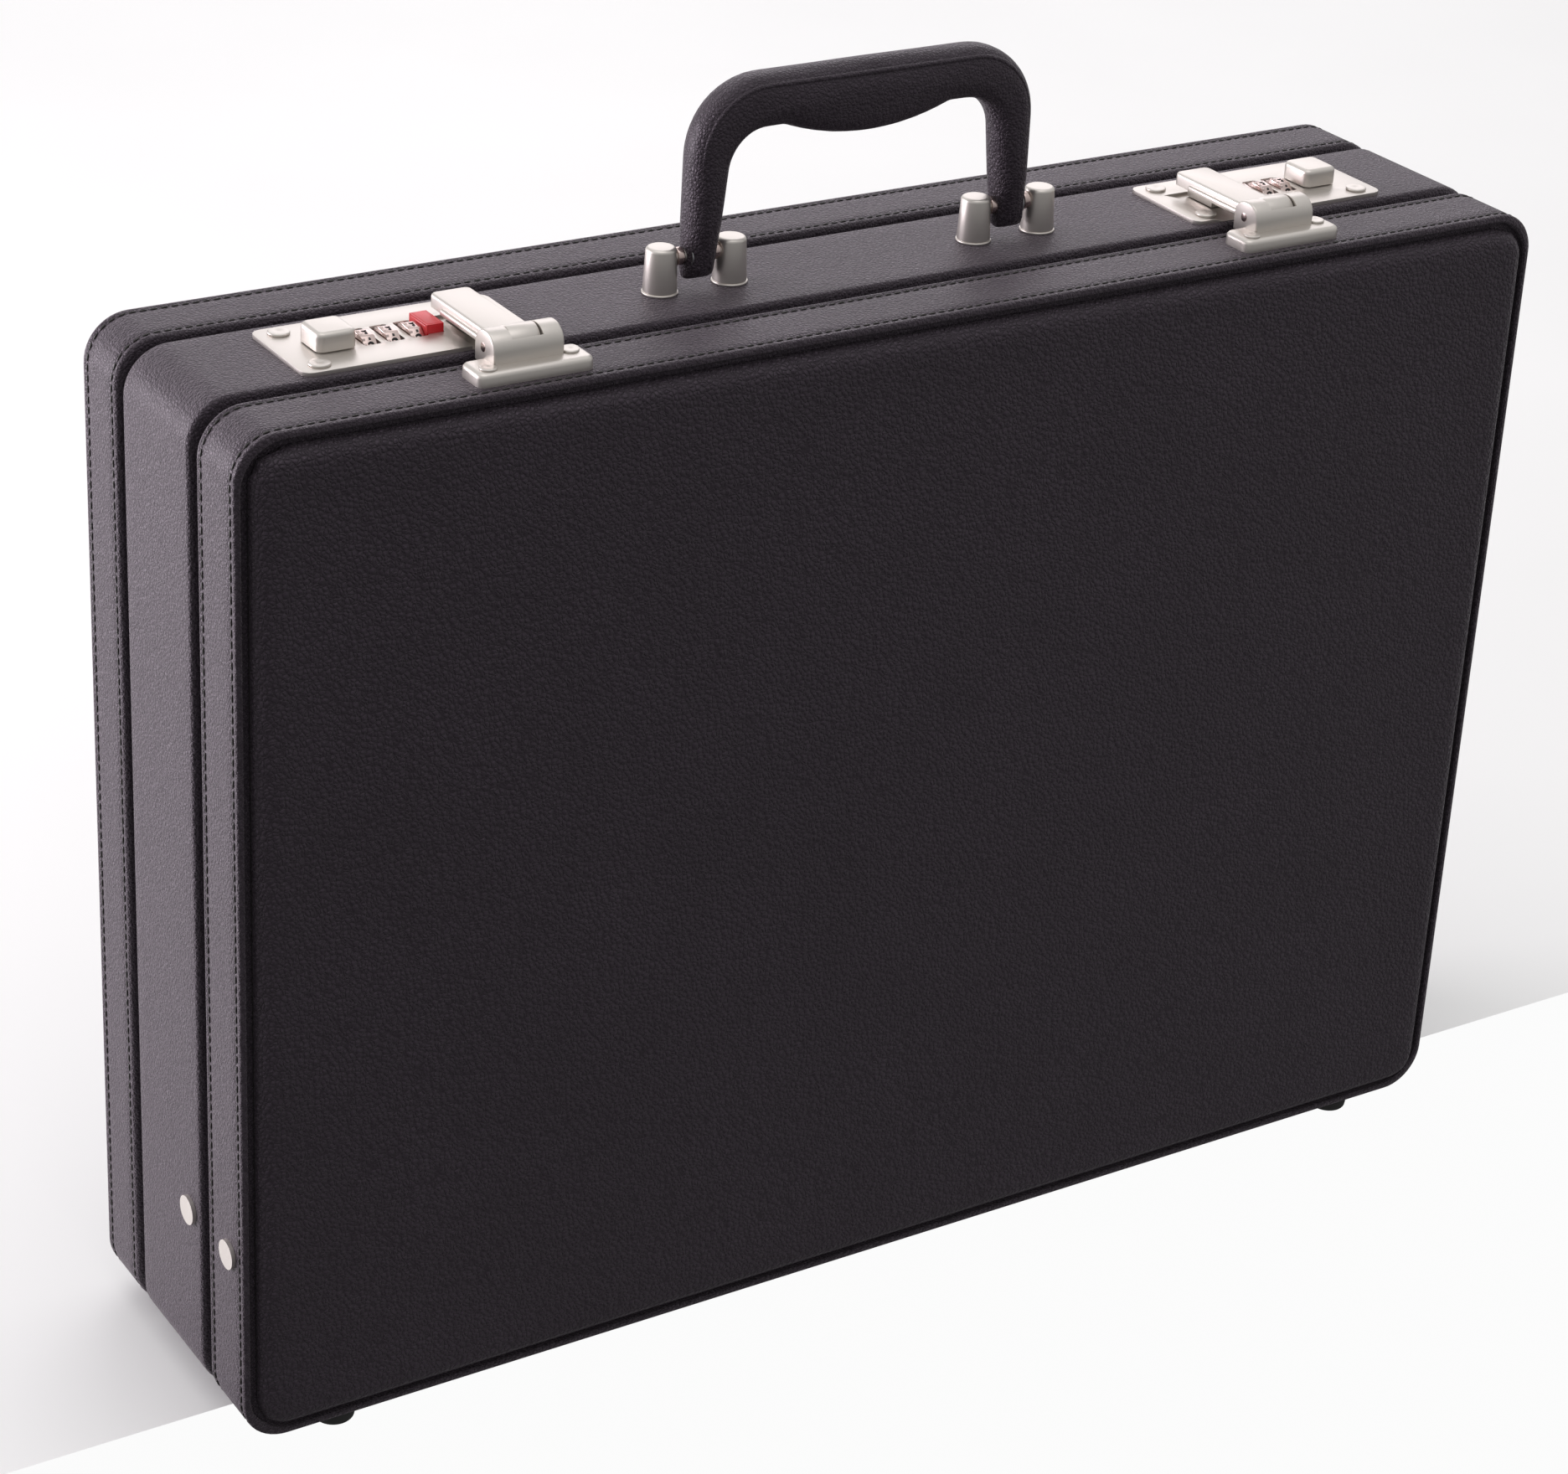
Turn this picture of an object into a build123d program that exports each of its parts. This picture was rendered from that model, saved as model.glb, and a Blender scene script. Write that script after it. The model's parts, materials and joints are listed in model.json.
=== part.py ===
from build123d import *
import os
from math import hypot

os.makedirs("parts", exist_ok=True)

# A hard-sided leather attache case, standing on its hinge edge with the handle up.
# Millimetres. +Z up, the lid faces -Y. The origin is on the floor, under the middle of the box.

# ---- overall sizes ----
case_width = 457.0
case_height = 327.0
corner_radius = 14.0
foot_height = 5.0

# ---- depth, from the lid's front rim to the rear rim ----
lid_depth = 25.0
parting_gap = 5.0
band_depth = 45.0
expander_gap = 4.5
rear_depth = 23.5

# ---- walls ----
leather = 1.2
frame_board = 3.6
panel_board = 3.0
lining = 0.8
rim_lip = 2.2
pad_groove = 2.2
pad_recess = 2.5
pad_proud = 3.5
soft_gap = 0.3

# ---- tongue that closes the parting gap ----
tongue_wall = 1.6
tongue_clearance = 0.8
tongue_reach = 4.0
tongue_grip = 4.0

# ---- sleeve that lets the rear section slide out ----
sleeve_wall = 2.0
sleeve_clearance = 0.5
sleeve_top_inset = 16.0
sleeve_start = 14.0
sleeve_grip = 8.0
expander_travel = 20.0
stud_radius = 2.0
stud_head_radius = 3.6
stud_head = 1.0
stud_clearance = 0.3
stud_edge = 5.0
stud_spacing = 180.0

# ---- hinge along the bottom ----
hinge_length = 400.0
knuckle_count = 16
knuckle_radius = 2.2
knuckle_gap = 0.3
hinge_drop = 1.4
hinge_pin_radius = 1.2
running_clearance = 0.08
leaf_width = 11.0
leaf_thickness = 0.8
leaf_rivets = 7
leaf_rivet_radius = 1.9
leaf_rivet_head = 0.6

# ---- feet ----
foot_radius = 7.0
foot_spread = 195.0
lid_foot_inset = 8.5
band_foot_inset = 34.0

# ---- lid stays ----
band_pivot_y = 8.0
band_pivot_z = 62.6
lid_pivot_y = 15.1
lid_pivot_z = 63.5
stay_width = 6.8
stay_thickness = 1.6
stay_wall_gap = 4.0
stay_plane_gap = 0.6
stay_rivet_radius = 2.0
stay_head_radius = 4.65
stay_head = 1.2
stay_boss_radius = 3.6
knee_pin_radius = 1.8
knee_clearance = 0.5

# ---- hardware on the top ----
hardware_y = -0.5

plate_inner = 117.0
plate_length = 75.0
plate_width = 36.5
plate_thickness = 1.2
plate_corner = 3.0
plate_rivet_end = 7.0
plate_rivet_side = 5.0
plate_rivet_radius = 3.3
plate_rivet_head = 0.9
rivet_shank = 1.5
rivet_tail = 2.4
rivet_tail_height = 0.8

dial_centre = 157.0
dial_pitch = 7.5
dial_count = 3
dial_radius = 6.5
dial_width = 4.4
dial_depth = 3.4
dial_window = 13.6
dial_side_gap = 0.5
dial_offset_y = 1.0
axle_radius = 1.5

lock_body_width = 22.0
lock_body_depth = 13.0
lock_body_inner = 129.0
lock_body_outer = 180.0
lock_wall = 1.5
lock_clearance = 0.3
red_pad_inner = 141.8
red_pad_length = 5.4
red_pad_width = 11.0
red_pad_proud = 2.6

button_centre = 178.0
button_length = 12.5
button_width = 13.0
button_gap = 0.4
button_rise = 5.6
button_travel = 4.0
stem_length = 4.0
stem_inset = 3.0
stem_width = 5.0
bolt_thickness = 1.6
bolt_width = 3.4
bolt_nose_gap = 0.4

hasp_centre = 133.6
hasp_base_length = 36.8
hasp_base_front = 5.0
hasp_base_width = 12.6
hasp_base_rise = 4.0
hasp_base_bevel = 1.6
hasp_axis_front = 17.0
hasp_axis_rise = 7.2
barrel_radius = 5.2
barrel_length = 22.4
barrel_middle = 9.2
barrel_split = 0.35
barrel_lift = 1.8
apron_thickness = 1.2
apron_rise = 1.5
apron_clearance = 0.2
hasp_pin_radius = 1.4
arm_width = 13.0
arm_flange = 15.0
arm_flange_thickness = 1.8
arm_thickness = 4.0
arm_under = 4.5
arm_reach = 42.3
arm_clear = 0.5
hook_width = 5.0
hook_length = 13.0
hook_lift = 0.3
recess_width = 12.0
hasp_rivet_radius = 2.6
hasp_rivet_head = 0.7
hasp_rivet_end = 4.6
hasp_rivet_front = 4.0
hasp_rivet_back = 5.6

# ---- handle ----
post_pair_centre = 56.0
post_spacing = 24.0
post_base_radius = 5.4
post_top_radius = 4.6
post_height = 14.4
post_shank = 2.5
pin_rise = 10.6
handle_pin_radius = 2.0
backing_length = 38.0
backing_width = 16.0
backing_thickness = 1.5
grip_half_width = 60.4
grip_leg = 12.8
grip_foot = 9.8
grip_bottom_rise = 3.4
grip_top_rise = 64.0
grip_bar = 17.0
grip_belly = 5.4
grip_belly_radius = 80.0
grip_depth = 14.0
grip_corner = 24.0
grip_inner_corner = 12.0
grip_edge = 4.0
core_thickness = 3.0
core_width = 8.0
core_bend = 20.0
eye_length = 7.0
eye_radius = 4.2

# ---- lid organiser ----
organiser_width = 380.0
organiser_height = 262.0
organiser_thickness = 1.6
file_pocket_height = 200.0
file_pocket_thickness = 4.0
card_pocket_width = 104.0
card_pocket_height = 66.0
card_pocket_thickness = 1.8
pen_loop_radius = 6.5
pen_loop_wall = 1.0
pen_loop_length = 26.0

# ---- places worked out from the sizes ----
total_depth = lid_depth + parting_gap + band_depth + expander_gap + rear_depth
front_rim = -total_depth / 2
lid_back = front_rim + lid_depth
band_front = lid_back + parting_gap
band_back = band_front + band_depth
rear_front = band_back + expander_gap
rear_rim = rear_front + rear_depth
bottom = foot_height
top = foot_height + case_height
wall = leather + frame_board
half_width = case_width / 2
hinge_y = lid_back + parting_gap / 2
hinge_z = bottom - hinge_drop
inner_wall_x = half_width - wall
pad_inset = rim_lip + pad_groove


def span(x0, x1, y0, y1, z0, z1):
    """A box between two corners."""
    return Pos((x0 + x1) / 2, (y0 + y1) / 2, (z0 + z1) / 2) * Box(x1 - x0, y1 - y0, z1 - z0)


def rod_x(x0, x1, y, z, radius):
    """A round bar along X."""
    return Pos((x0 + x1) / 2, y, z) * Rot(0, 90, 0) * Cylinder(radius, x1 - x0)


def rod_z(x, y, z0, z1, radius):
    """A round bar along Z."""
    return Pos(x, y, (z0 + z1) / 2) * Cylinder(radius, z1 - z0)


def slab(inset, y0, y1, top_inset=None):
    """The case's rounded outline, drawn in by inset all round, from y0 to y1."""
    upper = inset if top_inset is None else top_inset
    height = case_height - inset - upper
    radius = max(corner_radius - inset, 2.0)
    centre_z = bottom + inset + height / 2
    plane = Plane(origin=(0, y0, centre_z), x_dir=(1, 0, 0), z_dir=(0, 1, 0))
    return extrude(plane * RectangleRounded(case_width - 2 * inset, height, radius), y1 - y0)


def ring(inset, thickness, y0, y1, top_inset=None):
    """A wall of the case's outline, open at the front and the back."""
    upper = inset if top_inset is None else top_inset
    outer = slab(inset, y0, y1, upper)
    return outer - slab(inset + thickness, y0 - 1, y1 + 1, upper + thickness)


def mirrored(shape):
    """The same piece on the other side of the case."""
    return mirror(shape, about=Plane.YZ)


def save(name, *shapes):
    """Write one node; several solids in one node are a group."""
    solids = [solid for shape in shapes for solid in shape.solids()]
    piece = solids[0] if len(solids) == 1 else Compound(children=solids)
    piece.label = name
    export_step(piece, "parts/" + name + ".step")


def save_pair(name, shape):
    """Write the piece at +X as the right one and its mirror as the left one."""
    save(name + "_right", shape)
    save(name + "_left", mirrored(shape))


# ---- holes that the hardware needs in the top wall ----
lock_y0 = hardware_y - lock_body_width / 2
lock_y1 = hardware_y + lock_body_width / 2
plate_outer = plate_inner + plate_length
plate_y0 = hardware_y - plate_width / 2
plate_y1 = hardware_y + plate_width / 2
rivet_xs = (plate_inner + plate_rivet_end, plate_outer - plate_rivet_end)
rivet_ys = (plate_y0 + plate_rivet_side, plate_y1 - plate_rivet_side)
post_xs = (post_pair_centre - post_spacing / 2, post_pair_centre + post_spacing / 2)


def top_holes():
    """Everything that is cut through the band's top wall on the right-hand side."""
    cut = span(lock_body_inner - lock_clearance, lock_body_outer + lock_clearance,
               lock_y0 - lock_clearance, lock_y1 + lock_clearance, top - 2 * wall, top + 1)
    for x in rivet_xs:
        for y in rivet_ys:
            cut += rod_z(x, y, top - 2 * wall, top + 1, rivet_shank)
    for x in post_xs:
        cut += rod_z(x, hardware_y, top - 2 * wall, top + 1, post_shank)
    return cut


def stay_hole(y, z):
    """The hole for a stay's rivet in the right side wall."""
    return rod_x(inner_wall_x - 3, half_width + 1, y, z, stay_rivet_radius)


band_stay_y = band_front + band_pivot_y
band_stay_z = bottom + band_pivot_z
lid_stay_y = lid_back - lid_pivot_y
lid_stay_z = bottom + lid_pivot_z

# ---- middle band: the root of the case ----
right_cut = top_holes() + stay_hole(band_stay_y, band_stay_z)
band_cut = right_cut + mirrored(right_cut)

stud_y = band_front + sleeve_start + stud_edge
stud_zs = (bottom + case_height / 2 - stud_spacing / 2, bottom + case_height / 2 + stud_spacing / 2)
slot_radius = stud_radius + stud_clearance


def stud_slot(z):
    """The slot in the right side board that one guide stud runs along."""
    middle = span(inner_wall_x - 1, half_width - leather, stud_y, stud_y + expander_travel,
                  z - slot_radius, z + slot_radius)
    ends = rod_x(inner_wall_x - 1, half_width - leather, stud_y, z, slot_radius)
    ends += rod_x(inner_wall_x - 1, half_width - leather, stud_y + expander_travel, z, slot_radius)
    return middle + ends


right_slots = stud_slot(stud_zs[0]) + stud_slot(stud_zs[1])
band_frame = ring(leather, frame_board, band_front + leather, band_back - leather)
band_frame -= band_cut + right_slots + mirrored(right_slots)
save("band_frame", band_frame)

band_leather = ring(0, leather, band_front, band_back)
band_leather += ring(leather, frame_board, band_front, band_front + leather)
band_leather += ring(leather, frame_board, band_back - leather, band_back)
save("band_leather", band_leather - band_cut)

# The tongue is fixed inside the band and stands forward into the lid with a clearance all round.
tongue_inset = wall + tongue_clearance
tongue = ring(tongue_inset, tongue_wall, lid_back - tongue_reach, band_front + tongue_grip)
tongue += ring(wall, tongue_clearance + tongue_wall, band_front, band_front + tongue_grip)
save("parting_tongue", tongue)

# ---- lid ----
hasp_front_y = front_rim + hasp_base_front + hasp_rivet_front
hasp_back_y = front_rim + hasp_base_front + hasp_base_width - hasp_rivet_back


def hasp_rivet_points(centre):
    """Both hasps, at either side of the case, have their front rivet at the -X end."""
    offset = hasp_base_length / 2 - hasp_rivet_end
    return ((centre - offset, hasp_front_y), (centre + offset, hasp_back_y))


lid_cut = stay_hole(lid_stay_y, lid_stay_z)
lid_cut += mirrored(lid_cut)
for x, y in hasp_rivet_points(hasp_centre) + hasp_rivet_points(-hasp_centre):
    lid_cut += rod_z(x, y, top - 2 * wall, top + 1, rivet_shank)

# The leather is folded into a thin lip at the front; the board starts behind it, and the padded
# panel covers all but a groove inside the lip.
lid_board_front = front_rim + pad_recess
lid_frame = ring(leather, frame_board, lid_board_front, lid_back - leather)
save("lid_frame", lid_frame - lid_cut)
lid_leather = ring(0, leather, lid_board_front, lid_back)
lid_leather += ring(0, rim_lip, front_rim, lid_board_front)
lid_leather += ring(leather, frame_board, lid_back - leather, lid_back)
save("lid_leather", lid_leather - lid_cut)
lid_board_back = lid_board_front + panel_board
save("lid_board", slab(wall, lid_board_front, lid_board_back))
save("front_pad", slab(pad_inset, front_rim - pad_proud, lid_board_front))
lid_lining_back = lid_board_back + lining
save("lid_lining", slab(wall, lid_board_back, lid_lining_back))

# ---- rear section ----
rear_board_back = rear_rim - pad_recess
rear_frame = ring(leather, frame_board, rear_front + leather, rear_board_back)
save("rear_frame", rear_frame)
rear_leather = ring(0, leather, rear_front, rear_board_back)
rear_leather += ring(0, rim_lip, rear_board_back, rear_rim)
rear_leather += ring(leather, frame_board, rear_front, rear_front + leather)
save("rear_leather", rear_leather)
rear_board_front = rear_board_back - panel_board
save("rear_board", slab(wall, rear_board_front, rear_board_back))
save("rear_pad", slab(pad_inset, rear_board_back, rear_rim + pad_proud))
save("rear_lining", slab(wall, rear_board_front - lining, rear_board_front))

# The sleeve is fixed inside the rear section and slides in the band. Its top wall lies lower
# than the others, so that it passes under the locks.
sleeve_y0 = band_front + sleeve_start
sleeve_inset = wall + sleeve_clearance
sleeve = ring(sleeve_inset, sleeve_wall, sleeve_y0, rear_front + sleeve_grip, sleeve_top_inset)
sleeve_flange = slab(wall, rear_front + sleeve_grip - sleeve_wall, rear_front + sleeve_grip)
sleeve_flange -= slab(sleeve_inset + sleeve_wall, rear_front, rear_rim, sleeve_top_inset + sleeve_wall)
sleeve += sleeve_flange
right_stud_holes = rod_x(inner_wall_x - 5, inner_wall_x, stud_y, stud_zs[0], stud_radius)
right_stud_holes += rod_x(inner_wall_x - 5, inner_wall_x, stud_y, stud_zs[1], stud_radius)
save("expander_sleeve", sleeve - right_stud_holes - mirrored(right_stud_holes))

stud_tip = half_width - leather - stud_clearance
sleeve_inner_x = half_width - sleeve_inset - sleeve_wall
studs = []
for z in stud_zs:
    stud = rod_x(sleeve_inner_x, stud_tip, stud_y, z, stud_radius)
    stud += rod_x(sleeve_inner_x - stud_head, sleeve_inner_x, stud_y, z, stud_head_radius)
    studs += [stud, mirrored(stud)]
save("guide_studs", *studs)

# ---- hinge ----
knuckle_pitch = hinge_length / knuckle_count


def hinge_leaf(side, first):
    """One leaf: a plate under the case with every second knuckle; side -1 is the lid's."""
    near = hinge_y + side * (knuckle_radius + knuckle_gap)
    far = hinge_y + side * leaf_width
    low, high = sorted((near, far))
    leaf = span(-hinge_length / 2, hinge_length / 2, low, high, bottom - leaf_thickness, bottom)
    for index in range(first, knuckle_count, 2):
        x0 = -hinge_length / 2 + index * knuckle_pitch + knuckle_gap / 2
        x1 = x0 + knuckle_pitch - knuckle_gap
        low, high = sorted((near + side, hinge_y + side * hinge_pin_radius))
        leaf += span(x0, x1, low, high, bottom - leaf_thickness, bottom)
        leaf += rod_x(x0, x1, hinge_y, hinge_z, knuckle_radius)
    bore = hinge_pin_radius + (running_clearance if side < 0 else 0)
    return leaf - rod_x(-hinge_length, hinge_length, hinge_y, hinge_z, bore)


def leaf_rivet_group(side):
    """The rivets that hold one leaf to the bottom wall."""
    y = hinge_y + side * (leaf_width + knuckle_radius) / 2
    step = hinge_length / leaf_rivets
    rivets = []
    for index in range(leaf_rivets):
        x = -hinge_length / 2 + (index + 0.5) * step
        rivets.append(rod_z(x, y, bottom - leaf_thickness - leaf_rivet_head, bottom - leaf_thickness,
                            leaf_rivet_radius))
    return rivets


save("hinge_leaf_lid", hinge_leaf(-1, 0))
save("hinge_leaf_band", hinge_leaf(1, 1))
save("hinge_pin", rod_x(-hinge_length / 2, hinge_length / 2, hinge_y, hinge_z, hinge_pin_radius))
save("hinge_rivets_lid", *leaf_rivet_group(-1))
save("hinge_rivets_band", *leaf_rivet_group(1))

# ---- feet ----


def foot(y):
    """A round rubber foot with a bevelled tread."""
    body = rod_z(foot_spread, y, 0, bottom, foot_radius)
    return chamfer(body.edges().group_by(Axis.Z)[0], 1.0)


lid_foot = foot(front_rim + lid_foot_inset)
band_foot = foot(band_front + band_foot_inset)
save("lid_feet", lid_foot, mirrored(lid_foot))
save("band_feet", band_foot, mirrored(band_foot))

# ---- lid stays: two arms a side that stay parallel to the two lines from the hinge ----
lower_x1 = inner_wall_x - stay_wall_gap
lower_x0 = lower_x1 - stay_thickness
upper_x1 = lower_x0 - stay_plane_gap
upper_x0 = upper_x1 - stay_thickness
knee_y = band_stay_y + lid_stay_y - hinge_y
knee_z = band_stay_z + lid_stay_z - hinge_z


def arm_blank(x0, x1, start, end):
    """A flat bar with round ends between two pivots given as (y, z)."""
    middle_y = (start[0] + end[0]) / 2
    middle_z = (start[1] + end[1]) / 2
    length = hypot(end[0] - start[0], end[1] - start[1])
    along = (0, (end[0] - start[0]) / length, (end[1] - start[1]) / length)
    plane = Plane(origin=(x0, middle_y, middle_z), x_dir=along, z_dir=(1, 0, 0))
    return extrude(plane * SlotCenterToCenter(length, stay_width), x1 - x0)


rivet_bore = stay_rivet_radius + running_clearance
knee_bore = knee_pin_radius + knee_clearance
lower_arm = arm_blank(lower_x0, lower_x1, (band_stay_y, band_stay_z), (knee_y, knee_z))
lower_arm -= rod_x(lower_x0 - 1, lower_x1 + 1, band_stay_y, band_stay_z, rivet_bore)
lower_arm += rod_x(upper_x0 - 0.8, lower_x0, knee_y, knee_z, knee_pin_radius)
upper_arm = arm_blank(upper_x0, upper_x1, (lid_stay_y, lid_stay_z), (knee_y, knee_z))
upper_arm -= rod_x(upper_x0 - 1, upper_x1 + 1, lid_stay_y, lid_stay_z, rivet_bore)
upper_arm -= rod_x(upper_x0 - 1, upper_x1 + 1, knee_y, knee_z, knee_bore)
save_pair("stay_lower_arm", lower_arm)
save_pair("stay_upper_arm", upper_arm)


def stay_rivet(y, z, arm_x0, arm_x1):
    """Head outside, shank through the wall, boss up to the arm, and a washer head behind it."""
    rivet = rod_x(half_width, half_width + stay_head, y, z, stay_head_radius)
    rivet += rod_x(arm_x0 - 0.5, half_width, y, z, stay_rivet_radius)
    rivet += rod_x(arm_x1 + 0.2, inner_wall_x, y, z, stay_boss_radius)
    rivet += rod_x(arm_x0 - 1.3, arm_x0 - 0.3, y, z, stay_boss_radius)
    return rivet


band_stay_rivet = stay_rivet(band_stay_y, band_stay_z, lower_x0, lower_x1)
lid_stay_rivet = stay_rivet(lid_stay_y, lid_stay_z, upper_x0, upper_x1)
save("band_stay_rivets", band_stay_rivet, mirrored(band_stay_rivet))
save("lid_stay_rivets", lid_stay_rivet, mirrored(lid_stay_rivet))

# ---- locks ----
plate_top = top + plate_thickness
dial_y = hardware_y + dial_offset_y
dial_z = top - dial_depth
dial_xs = [dial_centre + (index - (dial_count - 1) / 2) * dial_pitch for index in range(dial_count)]
stem_x0 = button_centre - stem_length / 2 - button_travel / 2 - stem_inset
stem_x1 = stem_x0 + stem_length
bolt_y = hardware_y - lock_body_width / 2 + lock_wall + bolt_width / 2 + lock_clearance
bolt_z1 = top - 0.4
bolt_z0 = bolt_z1 - bolt_thickness
recess_y1 = hardware_y + 7.0
recess_x0 = hasp_centre - recess_width / 2
recess_x1 = hasp_centre + recess_width / 2

plate = span(plate_inner, plate_outer, plate_y0, plate_y1, top, plate_top)
plate = chamfer(plate.edges().filter_by(Axis.Z), plate_corner)
for x in dial_xs:
    plate -= span(x - dial_width / 2 - dial_side_gap, x + dial_width / 2 + dial_side_gap,
                  dial_y - dial_window / 2, dial_y + dial_window / 2, top - 1, plate_top + 1)
plate -= span(recess_x0, recess_x1, plate_y0 - 1, recess_y1, top - 1, plate_top + 1)
plate -= span(red_pad_inner - 0.2, red_pad_inner + red_pad_length + 0.2, dial_y - red_pad_width / 2 - 0.2,
              dial_y + red_pad_width / 2 + 0.2, top - 1, plate_top + 1)
plate -= span(stem_x0 - lock_clearance, stem_x1 + button_travel + lock_clearance,
              hardware_y - stem_width / 2 - lock_clearance, hardware_y + stem_width / 2 + lock_clearance,
              top - 1, plate_top + 1)
for x in rivet_xs:
    for y in rivet_ys:
        plate -= rod_z(x, y, top - 1, plate_top + 1, rivet_shank)
save_pair("lock_plate", plate)

lock_bottom = top - lock_body_depth
lock_body = span(lock_body_inner, lock_body_outer, lock_y0, lock_y1, lock_bottom, top)
dial_bay_x0 = dial_xs[0] - dial_width / 2 - 1.0
dial_bay_x1 = dial_xs[-1] + dial_width / 2 + 1.0
dial_bay_half = dial_radius + 0.6
lock_body -= span(dial_bay_x0, dial_bay_x1, dial_y - dial_bay_half, dial_y + dial_bay_half,
                  dial_z - dial_bay_half, top + 1)
for x in dial_xs[:-1]:
    rib_x = x + dial_pitch / 2
    lock_body += span(rib_x - 0.8, rib_x + 0.8, dial_y - dial_bay_half, dial_y + dial_bay_half,
                      dial_z - dial_bay_half, top - 0.2)
lock_body -= rod_x(dial_bay_x0 - 3, dial_bay_x1 + 3, dial_y, dial_z, axle_radius)
lock_body += span(red_pad_inner, red_pad_inner + red_pad_length, dial_y - red_pad_width / 2,
                  dial_y + red_pad_width / 2, top, plate_top + red_pad_proud)
lock_body -= span(lock_body_inner - 1, stem_x1 + button_travel + 2, bolt_y - bolt_width / 2 - lock_clearance,
                  bolt_y + bolt_width / 2 + lock_clearance, bolt_z0 - lock_clearance, top + 1)
lock_body -= span(stem_x0 - lock_clearance, stem_x1 + button_travel + 2, bolt_y - bolt_width / 2,
                  hardware_y + stem_width / 2 + lock_clearance, bolt_z0 - lock_clearance, top + 1)
save_pair("lock_body", lock_body)

axle = rod_x(dial_bay_x0 - 3, dial_bay_x1 + 3, dial_y, dial_z, axle_radius)
save_pair("dial_axle", axle)
for number, x in enumerate(dial_xs, start=1):
    dial = rod_x(x - dial_width / 2, x + dial_width / 2, dial_y, dial_z, dial_radius)
    dial = chamfer(dial.edges().filter_by(GeomType.CIRCLE), 0.5)
    dial -= rod_x(x - dial_width, x + dial_width, dial_y, dial_z, axle_radius + running_clearance)
    save_pair("dial_" + str(number), dial)

plate_rivets = []
for x in rivet_xs:
    for y in rivet_ys:
        rivet = rod_z(x, y, top - wall - rivet_tail_height, plate_top, rivet_shank)
        rivet += rod_z(x, y, plate_top, plate_top + plate_rivet_head, plate_rivet_radius)
        rivet += rod_z(x, y, top - wall - rivet_tail_height, top - wall, rivet_tail)
        plate_rivets += [rivet, mirrored(rivet)]
save("lock_plate_rivets", *plate_rivets)

button_z0 = plate_top + button_gap
button = span(button_centre - button_length / 2 - button_travel / 2,
              button_centre + button_length / 2 - button_travel / 2,
              hardware_y - button_width / 2, hardware_y + button_width / 2, button_z0, button_z0 + button_rise)
button = chamfer(button.edges().filter_by(Axis.Z), 2.2)
button = fillet(button.edges().group_by(Axis.Z)[-1], 1.4)
button += span(stem_x0, stem_x1, hardware_y - stem_width / 2, hardware_y + stem_width / 2, bolt_z1, button_z0)
save_pair("button", button)
bolt = span(red_pad_inner, stem_x1, bolt_y - bolt_width / 2, bolt_y + bolt_width / 2, bolt_z0, bolt_z1)
bolt += span(stem_x0, stem_x1, bolt_y, hardware_y + stem_width / 2, bolt_z0, bolt_z1)
save_pair("lock_bolt", bolt)

# ---- hasps ----
axis_y = front_rim + hasp_axis_front
axis_z = top + hasp_axis_rise
base_x0 = hasp_centre - hasp_base_length / 2
base_x1 = hasp_centre + hasp_base_length / 2
base_y0 = front_rim + hasp_base_front
base_y1 = base_y0 + hasp_base_width
base_top = top + hasp_base_rise
barrel_x0 = hasp_centre - barrel_length / 2
barrel_x1 = hasp_centre + barrel_length / 2
middle_x0 = hasp_centre - barrel_middle / 2
middle_x1 = hasp_centre + barrel_middle / 2

base = span(base_x0, base_x1, base_y0, base_y1, top, base_top)
base = chamfer(base.edges().filter_by(Axis.Z), 2.5)
base = chamfer(base.edges().group_by(Axis.Z)[-1], hasp_base_bevel)
for knuckle_x0, knuckle_x1 in ((barrel_x0, middle_x0 - barrel_split), (middle_x1 + barrel_split, barrel_x1)):
    base += rod_x(knuckle_x0, knuckle_x1, axis_y, axis_z, barrel_radius)
    base += span(knuckle_x0, knuckle_x1, axis_y - barrel_radius, axis_y + barrel_radius,
                 top + barrel_lift, axis_z)
base -= rod_x(middle_x0 - barrel_split, middle_x1 + barrel_split, axis_y, axis_z, barrel_radius + arm_clear)
# A thin apron in front hides the arm's barrel up to its upper part.
apron_y1 = axis_y - barrel_radius - apron_clearance
base += span(barrel_x0, barrel_x1, apron_y1 - apron_thickness, apron_y1, base_top - 1, axis_z + apron_rise)
for knuckle_x0, knuckle_x1 in ((barrel_x0, middle_x0 - barrel_split), (middle_x1 + barrel_split, barrel_x1)):
    base += span(knuckle_x0, knuckle_x1, apron_y1 - apron_thickness, axis_y, base_top - 1, axis_z + apron_rise)
base -= rod_x(barrel_x0 - 1, barrel_x1 + 1, axis_y, axis_z, hasp_pin_radius)
right_base = base
left_base = mirrored(base)
for x, y in hasp_rivet_points(hasp_centre):
    right_base -= rod_z(x, y, top - 1, base_top + 1, rivet_shank)
for x, y in hasp_rivet_points(-hasp_centre):
    left_base -= rod_z(x, y, top - 1, base_top + 1, rivet_shank)
save("hasp_base_right", right_base)
save("hasp_base_left", left_base)

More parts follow.
